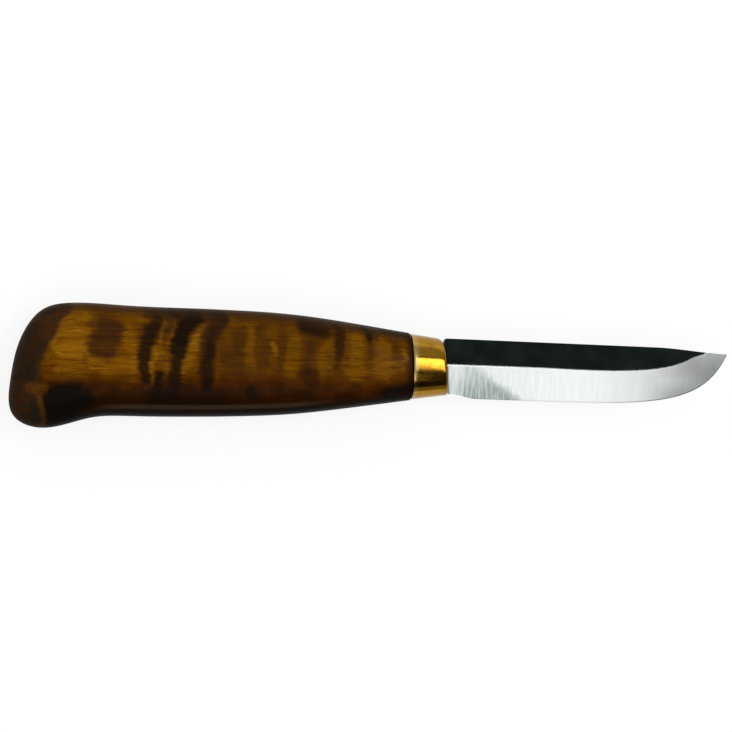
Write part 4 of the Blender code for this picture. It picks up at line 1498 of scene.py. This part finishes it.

# %% [markdown]
# At the butt the block is cut across, and end grain drinks more oil than the sides, so it is the
# darkest and dullest part. Its border is a bowed ridge, written as a parabola. A thin dark line
# runs along the collar, against the brass. The oil itself leaves only a faint gloss, so the clear
# coat is thin, and thinner still on the belly.

# %% Finish the butt, the collar and the oil
RIDGE_X = -110.3
RIDGE_Y = -8.0
RIDGE_CURVE = 0.0205
END_RAMP = (-0.9, 0.9)
END_SHARE = 0.9
END_PATCH_RAMP = (0.35, 0.65)
END_GRAIN = paint(36, 29, 18)
END_GRAIN_RED = paint(54, 31, 15)
END_GRAIN_BLACK = paint(24, 23, 16)
COLLAR_DARK_LINE = paint(22, 9, 3)
COLLAR_LINE_RAMP = (COLLAR_X - 3.0, COLLAR_X - 0.4, 0.0, 0.85)
WOOD_ROUGHNESS = 0.32
ROUGHNESS_BY_FIBRES = 0.12
ROUGHNESS_BY_END = 0.1
COAT_RAMP = (-0.55, -0.85, 0.015, 0.002)
COAT_ROUGHNESS = 0.16
WOOD_SPECULAR = 0.01
FIBRE_DEPTH = 0.03
FIBRE_RELIEF = 0.5
FINE_HEIGHT = 0.5  # of the fine fibres, against the others

from_ridge = calc(tree, "POWER", calc(tree, "SUBTRACT", parts["Y"], RIDGE_Y), 2.0)
ridge = add_part(tree, from_ridge, RIDGE_CURVE, RIDGE_X)
end_mask = ramp(tree, calc(tree, "SUBTRACT", ridge, waved_x), *END_RAMP)
end_colour = tint(tree, ramp(tree, patches, *END_PATCH_RAMP), END_GRAIN, END_GRAIN_RED)
end_colour = tint(tree, butt_shade, end_colour, END_GRAIN_BLACK)
coats = (
    (times(tree, end_mask, END_SHARE), end_colour),
    (butt_honey, tint(tree, fibres, AMBER_SHADE, AMBER)),
    (ramp(tree, parts["X"], *COLLAR_LINE_RAMP), COLLAR_DARK_LINE),
)
colour = lay_coats(tree, colour, coats)
roughness = add_part(tree, fine_fibres, ROUGHNESS_BY_FIBRES, WOOD_ROUGHNESS)
roughness = add_part(tree, end_mask, ROUGHNESS_BY_END, roughness)
coat = ramp(tree, spineward, *COAT_RAMP)
connect(tree, shader, Base_Color=colour, Roughness=roughness, Coat_Weight=coat)
height = add_part(tree, fine_fibres, FINE_HEIGHT, fibres)
relief(tree, shader, height, FIBRE_DEPTH, FIBRE_RELIEF)
shader.inputs["Specular IOR Level"].default_value = WOOD_SPECULAR
shader.inputs["Coat Roughness"].default_value = COAT_ROUGHNESS
handle.data.materials.append(birch)
print("birch nodes:", len(tree.nodes))

# %% [markdown]
# ## Brass
#
# The ferrule was filed to shape and rubbed bright, then it tarnished to a tan. Rubbing leaves lines
# round the cup, which break the border of every reflection into small teeth. A few pits are left from
# casting, and three small dents are drawn with the strokes of the birch. The rim at the wood is
# worn rougher, and it is painted paler as a painted highlight, strongest on its crown, where the
# lamp's reflection runs. A dark spot of painted shade sits in the corner beside the blade's heel.

# %% Mask the brass
GLINT_Y = 1.0  # the height at which the rim is worn most and its painted highlight is strongest
GLINT_RAMP = (5.0, 1.5, 0.45, 1.0)
RIM_WEAR = {"Width": 1.8, "Ragged": 2.4}
TARNISH_SIZE = 3.0
RUB_LINES = ((5.0, 0.5, 0.5), 0.25, 0.75)
BRASS_PITS = {"Spacing": 2.4, "Radius": 0.16}
BRASS_MARKS = (
    ((-5.8, 6.3), (-5.0, 6.0), 0.22, 0.30, 0.7),
    ((-4.7, 5.0), (-4.4, 5.5), 0.30, 0.20, 0.7),
    ((-5.6, 4.7), (-5.5, 4.6), 0.24, 0.24, 0.5),
)
MARKS_SIDE_RAMP = (-4.0, -2.0)  # keeps the dents off the underside
# painted shade: a dark spot in the corner beside the blade's heel
HEEL_SHADE_FRONT_RAMP = (-1.5, -0.1)
HEEL_SHADE_LOW_RAMP = (-5.6, -7.3)
HEEL_SHADE_BLADE_RAMP = (3.6, 1.2, 0.0, 0.85)

brass, tree, shader = new_finish("rubbed_brass")
spot = millimetres(tree)
parts = axes(tree, spot)
tarnish = draw_clouds(tree, spot, TARNISH_SIZE)
rub = draw_lines(tree, spot, *RUB_LINES)
from_rim = calc(tree, "SUBTRACT", parts["X"], COLLAR_X)
worn_and_glint = use(tree, worn_border, {"Point": spot, "Distance": from_rim, **RIM_WEAR})
from_glint = calc(tree, "ABSOLUTE", calc(tree, "SUBTRACT", parts["Y"], GLINT_Y))
worn_and_glint = times(tree, worn_and_glint, ramp(tree, from_glint, *GLINT_RAMP))
marks = lay_strokes(tree, flat_point(tree, parts["X"], parts["Y"]), BRASS_MARKS)
marks = times(tree, marks, ramp(tree, parts["Z"], *MARKS_SIDE_RAMP))
pits = calc(tree, "MAXIMUM", use(tree, small_pits, {"Point": spot, **BRASS_PITS}), marks)
from_nose = add_part(tree, parts["Y"], NOSE_LEAN, parts["X"])
heel_shade = times(tree, ramp(tree, from_nose, *HEEL_SHADE_FRONT_RAMP), ramp(tree, parts["Y"], *HEEL_SHADE_LOW_RAMP))
from_blade = calc(tree, "ABSOLUTE", parts["Z"])
heel_shade = times(tree, heel_shade, ramp(tree, from_blade, *HEEL_SHADE_BLADE_RAMP))
print("brass nodes so far:", len(tree.nodes))

# %% [markdown]
# With the masks at hand the brass itself is short. Tarnish dulls it. The worn rim is scratched, so
# it is rougher, and it is painted brighter as a painted highlight. Lines and pits also go into the
# relief, a hundredth of a millimetre deep, where they catch the lamp.

# %% Finish the brass
BRASS = (0.36, 0.195, 0.015, 1.0)
BRASS_TARNISH = (0.29, 0.140, 0.015, 1.0)
# the worn rim's paler colour is also a painted highlight, kept to the rim's crown
BRASS_WORN_GLINT = (0.60, 0.49, 0.22, 1.0)
WORN_GLINT_SHARE = 0.6
BRASS_PIT = (0.20, 0.09, 0.02, 1.0)
PIT_SHARE = 0.7
# colour of the painted shade beside the blade's heel
BRASS_HEEL_SHADE = (0.02, 0.008, 0.004, 1.0)
BRASS_ROUGHNESS = 0.11
ROUGHNESS_BY_TARNISH = 0.06
ROUGHNESS_BY_WEAR = 0.16
RUB_HEIGHT = 0.8
PIT_HEIGHT = 0.3
BRASS_DEPTH = 0.01
BRASS_RELIEF = 0.6

coats = (
    (times(tree, worn_and_glint, WORN_GLINT_SHARE), BRASS_WORN_GLINT),
    (times(tree, pits, PIT_SHARE), BRASS_PIT),
    (heel_shade, BRASS_HEEL_SHADE),
)
colour = lay_coats(tree, tint(tree, tarnish, BRASS, BRASS_TARNISH), coats)
roughness = add_part(tree, tarnish, ROUGHNESS_BY_TARNISH, BRASS_ROUGHNESS)
roughness = add_part(tree, worn_and_glint, ROUGHNESS_BY_WEAR, roughness)
connect(tree, shader, Base_Color=colour, Roughness=roughness)
height = calc(tree, "SUBTRACT", times(tree, rub, RUB_HEIGHT), times(tree, pits, PIT_HEIGHT))
relief(tree, shader, height, BRASS_DEPTH, BRASS_RELIEF)
shader.inputs["Metallic"].default_value = 1.0
ferrule.data.materials.append(brass)
print("brass nodes:", len(tree.nodes))

# %% [markdown]
# ## Forged steel
#
# Forging leaves the flats under a thin black scale with a cold tint, and only the bevels are ground
# bright. The border between the two is never a clean line: the stone breaks the scale away in small
# chips, larger ones near the handle. Close to the tip the scale runs out to a point along the spine.
# The mesh knows how far each vertex lies above the grind line, so the border needs no drawing.

# %% Lay the scale
SCALE_BLACK = (0.0020, 0.0050, 0.0045, 1.0)
SCALE_WORN = (0.0075, 0.0120, 0.0112, 1.0)
SCALE_CLOUD_SIZE = 6.0
SCALE_OVERLAP = 0.03  # how far the scale reaches over the corner of the bevel
SCALE_END = (70.0, 71.9)  # where the last of the scale runs out along the spine
SCALE_END_CUT = 0.45  # how much of its height is gone there
SCALE_BORDER_RAMP = (0.0, 0.07)
CHIP_NOISE = {"Scale": 2.2, "Detail": 4.0}
CHIP_REACH_RAMP = (10.0, 45.0, 1.0, 0.35)
CHIP_END_RAMP = (68.5, 69.5, 1.0, 0.0)
CHIP_WEAR = {"Width": 0.3, "Ragged": 0.9}

steel, tree, shader = new_finish("forged_and_ground_steel")
spot = millimetres(tree)
parts = axes(tree, spot)
above = place(tree, "ShaderNodeAttribute", attribute_name="above_grind").outputs["Fac"]
clouds = draw_clouds(tree, spot, SCALE_CLOUD_SIZE)
scale = tint(tree, clouds, SCALE_BLACK, SCALE_WORN)
chips = place(tree, "ShaderNodeTexNoise", {"Vector": spot, **CHIP_NOISE}).outputs[0]
chip_reach = ramp(tree, parts["X"], *CHIP_REACH_RAMP)
chip_swing = times(tree, calc(tree, "SUBTRACT", chips, NOISE_MIDDLE), chip_reach)
run_out = ramp(tree, parts["X"], *SCALE_END, SCALE_OVERLAP, SCALE_OVERLAP - SCALE_END_CUT)
border = calc(tree, "ADD", above, run_out)
scale_mask = ramp(tree, calc(tree, "ADD", border, chip_swing), *SCALE_BORDER_RAMP)
chipped = use(tree, worn_border, {"Point": spot, "Distance": border, **CHIP_WEAR})
chipped = times(tree, chipped, chip_reach)
chipped = times(tree, chipped, ramp(tree, parts["X"], *CHIP_END_RAMP))
print("steel nodes so far:", len(tree.nodes))

# %% [markdown]
# The grinding marks run across the blade, almost upright, fine ones over coarse ones. Near the handle
# the bevel is coloured darker as painted shade, in a patch at the heel with a slanting, frayed
# border. A trace of it fades out along the first half of the blade.

# %% Paint shade on the heel
GRIND_LINES = ((5.0, 0.09, 0.09), 0.25, 0.75)
COARSE_LINES = ((1.5, 0.16, 0.16), 0.3, 0.7)
HEEL_BORDER_X = 11.2  # end of the heel's painted shade, level with the axis
HEEL_BORDER_LEAN = -1.35  # how far that border moves along for each unit of height
HEEL_FRAYING = 3.0
HEEL_BORDER = (2.0, -4.0)  # past that border, where the dulling starts and where it is full
HEEL_DEPTH_RAMP = (-0.5, -7.0, 0.68, 1.0)
HEEL_START_RAMP = (2.5, 7.0, 0.62, 1.0)
HEEL_FADE_RAMP = (10.0, 42.0, 0.25, 0.0)
HEEL_BASE = 0.65
HEEL_BY_LINES = 0.45

grind = draw_lines(tree, spot, *GRIND_LINES)
coarse = draw_lines(tree, spot, *COARSE_LINES)
heel_line = add_part(tree, parts["Y"], HEEL_BORDER_LEAN, HEEL_BORDER_X)
heel_place = calc(tree, "SUBTRACT", parts["X"], heel_line)
heel_place = sway(tree, coarse, HEEL_FRAYING, heel_place)
heel_depth = ramp(tree, parts["Y"], *HEEL_DEPTH_RAMP)
heel = ramp(tree, heel_place, *HEEL_BORDER, 0.0, heel_depth)
heel = times(tree, heel, ramp(tree, parts["X"], *HEEL_START_RAMP))
heel = calc(tree, "MAXIMUM", heel, ramp(tree, parts["X"], *HEEL_FADE_RAMP))
heel = times(tree, heel, add_part(tree, coarse, HEEL_BY_LINES, HEEL_BASE))
print("steel nodes so far:", len(tree.nodes))

# %% [markdown]
# Where the edge starts to curve, the bevel turns towards the lamp and gets a painted highlight: its
# colour is brighter there. The low belly and the tip are painted greyer, as painted shade. A thin
# grey line of painted shade marks the honed edge, clearest along the curve. Past the end of the
# scale a last bit of flat is bare, and it stays dull. Against the ferrule a thin dark line of
# painted shade runs along the shoulder.

# %% Colour the bevel
GROUND = (0.81, 0.84, 0.83, 1.0)
# dark between the grinding marks, and the painted shade at the heel
GROUND_DULL_AND_SHADE = (0.235, 0.28, 0.263, 1.0)
LINES_SHARE = 0.16
# painted highlight where the edge starts to curve
GROUND_CURVE_HIGHLIGHT = (0.92, 0.96, 0.945, 1.0)
CURVE_RAGGED = 5.0
CURVE_RAMP = (57.0, 69.0)
CURVE_BASE = 0.65
CURVE_BY_LINES = 0.35
# painted shade on the tip and the low belly
GROUND_TIP_SHADE = (0.50, 0.545, 0.53, 1.0)
TIP_RAMP = (67.0, 78.0)
BELLY_RAMP = (-1.0, -6.5, 0.0, 0.9)
BELLY_START_RAMP = (54.0, 64.0)
# painted shade: a thin grey line along the honed edge
EDGE_GREY = (0.12, 0.12, 0.12, 1.0)
HONED_RAMP = (0.34, 0.1)
HONED_ALONG_RAMP = (40.0, 62.0, 0.25, 1.0)
GROUND_FLAT = (0.18, 0.20, 0.195, 1.0)
FLAT_RAMP = (0.0, 0.04)
# painted shade against the ferrule
SHOULDER_SHADE = (0.05, 0.047, 0.04, 1.0)
SHOULDER_SHADE_RAMP = (1.2, 0.4, 0.0, 0.8)

curve = ramp(tree, add_part(tree, clouds, CURVE_RAGGED, parts["X"]), *CURVE_RAMP)
curve = times(tree, curve, add_part(tree, coarse, CURVE_BY_LINES, CURVE_BASE))
belly = ramp(tree, parts["Y"], *BELLY_RAMP)
belly = times(tree, belly, ramp(tree, parts["X"], *BELLY_START_RAMP))
grey_tip = calc(tree, "MAXIMUM", ramp(tree, parts["X"], *TIP_RAMP), belly)
edge_away = place(tree, "ShaderNodeAttribute", attribute_name="from_edge").outputs["Fac"]
honed_along = ramp(tree, parts["X"], *HONED_ALONG_RAMP)
honed = times(tree, ramp(tree, edge_away, *HONED_RAMP), honed_along)
from_shoulder = add_part(tree, parts["Y"], NOSE_LEAN, parts["X"])
coats = (
    (heel, GROUND_DULL_AND_SHADE),
    (curve, GROUND_CURVE_HIGHLIGHT),
    (grey_tip, GROUND_TIP_SHADE),
    (honed, EDGE_GREY),
    (ramp(tree, above, *FLAT_RAMP), GROUND_FLAT),
    (ramp(tree, from_shoulder, *SHOULDER_SHADE_RAMP), SHOULDER_SHADE),
)
ground = lay_coats(tree, tint(tree, times(tree, grind, LINES_SHARE), GROUND, GROUND_DULL_AND_SHADE), coats)
print("steel nodes so far:", len(tree.nodes))

# %% [markdown]
# Last, scale and bevel come together. Scale is no metal, so Metallic follows the bare steel. The
# relief differs too: upright lines on the bevel, a slightly lumpy skin on the scale. It is only a few
# thousandths of a millimetre deep, because more would break up the long reflection of the lamp.

# %% Finish the steel
CHIPPED = (0.95, 0.95, 0.95, 1.0)
CHIPPED_SHARE = 0.8
GROUND_ROUGHNESS = 0.28
ROUGHNESS_BY_LINES = 0.04
SCALE_ROUGHNESS = 0.42
ROUGHNESS_BY_CLOUDS = 0.12
GRIND_HEIGHT = 2.0
CHIP_HEIGHT = 3.0
STEEL_DEPTH = 0.001
STEEL_RELIEF = 0.35
SCALE_SPECULAR = 0.05

coats = ((scale_mask, scale), (times(tree, chipped, CHIPPED_SHARE), CHIPPED))
colour = lay_coats(tree, ground, coats)
bare = calc(tree, "MAXIMUM", calc(tree, "SUBTRACT", 1.0, scale_mask), chipped)
ground_roughness = add_part(tree, grind, ROUGHNESS_BY_LINES, GROUND_ROUGHNESS)
scale_roughness = add_part(tree, clouds, ROUGHNESS_BY_CLOUDS, SCALE_ROUGHNESS)
roughness = mix(tree, scale_mask, ground_roughness, scale_roughness)
connect(tree, shader, Base_Color=colour, Roughness=roughness, Metallic=bare)
ground_height = times(tree, bare, add_part(tree, grind, GRIND_HEIGHT, coarse))
scale_height = times(tree, scale_mask, add_part(tree, chips, CHIP_HEIGHT, clouds))
height = calc(tree, "ADD", ground_height, scale_height)
relief(tree, shader, height, STEEL_DEPTH, STEEL_RELIEF)
shader.inputs["Specular IOR Level"].default_value = SCALE_SPECULAR
blade.data.materials.append(steel)
print("steel nodes:", len(tree.nodes))

# %% [markdown]
# ## Resin
#
# The tang is bedded in amber resin. Nobody sees it on a finished knife, but the solid stays in the
# model, so it gets a proper finish too: cloudy amber with fine trapped bubbles.

# %% Finish the resin
RESIN_LIGHT = paint(150, 104, 40)
RESIN_DARK = paint(108, 66, 20)
RESIN_CLOUD_SIZE = 3.0
RESIN_BUBBLES = {"Spacing": 0.9, "Radius": 0.16}
RESIN_ROUGHNESS = 0.2
ROUGHNESS_BY_CLOUDINESS = 0.15
BUBBLE_DEPTH = 0.05
BUBBLE_RELIEF = 0.5

resin, tree, shader = new_finish("cured_resin")
spot = millimetres(tree)
cloudy = draw_clouds(tree, spot, RESIN_CLOUD_SIZE)
bubbles = use(tree, small_pits, {"Point": spot, **RESIN_BUBBLES})
colour = tint(tree, cloudy, RESIN_LIGHT, RESIN_DARK)
roughness = add_part(tree, cloudy, ROUGHNESS_BY_CLOUDINESS, RESIN_ROUGHNESS)
connect(tree, shader, Base_Color=colour, Roughness=roughness)
relief(tree, shader, calc(tree, "SUBTRACT", 1.0, bubbles), BUBBLE_DEPTH, BUBBLE_RELIEF)
bed = frame["nodes"]["tang_adhesive"]
bed.data.materials.clear()
bed.data.materials.append(resin)
print("resin on", bed.name)

# %% [markdown]
# ## Hand over
#
# Each new piece rides on the knife's one body and stands for the solid that it refines, which is
# hidden.

# %% Fit the pieces to the frame
for piece, node, slot in (
    (handle, "handle", "curly_birch"),
    (ferrule, "ferrule", "brass"),
    (blade, "blade", "forged_steel"),
):
    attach(piece, "root")
    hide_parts(node)
    print(piece.name, "stands for", node)
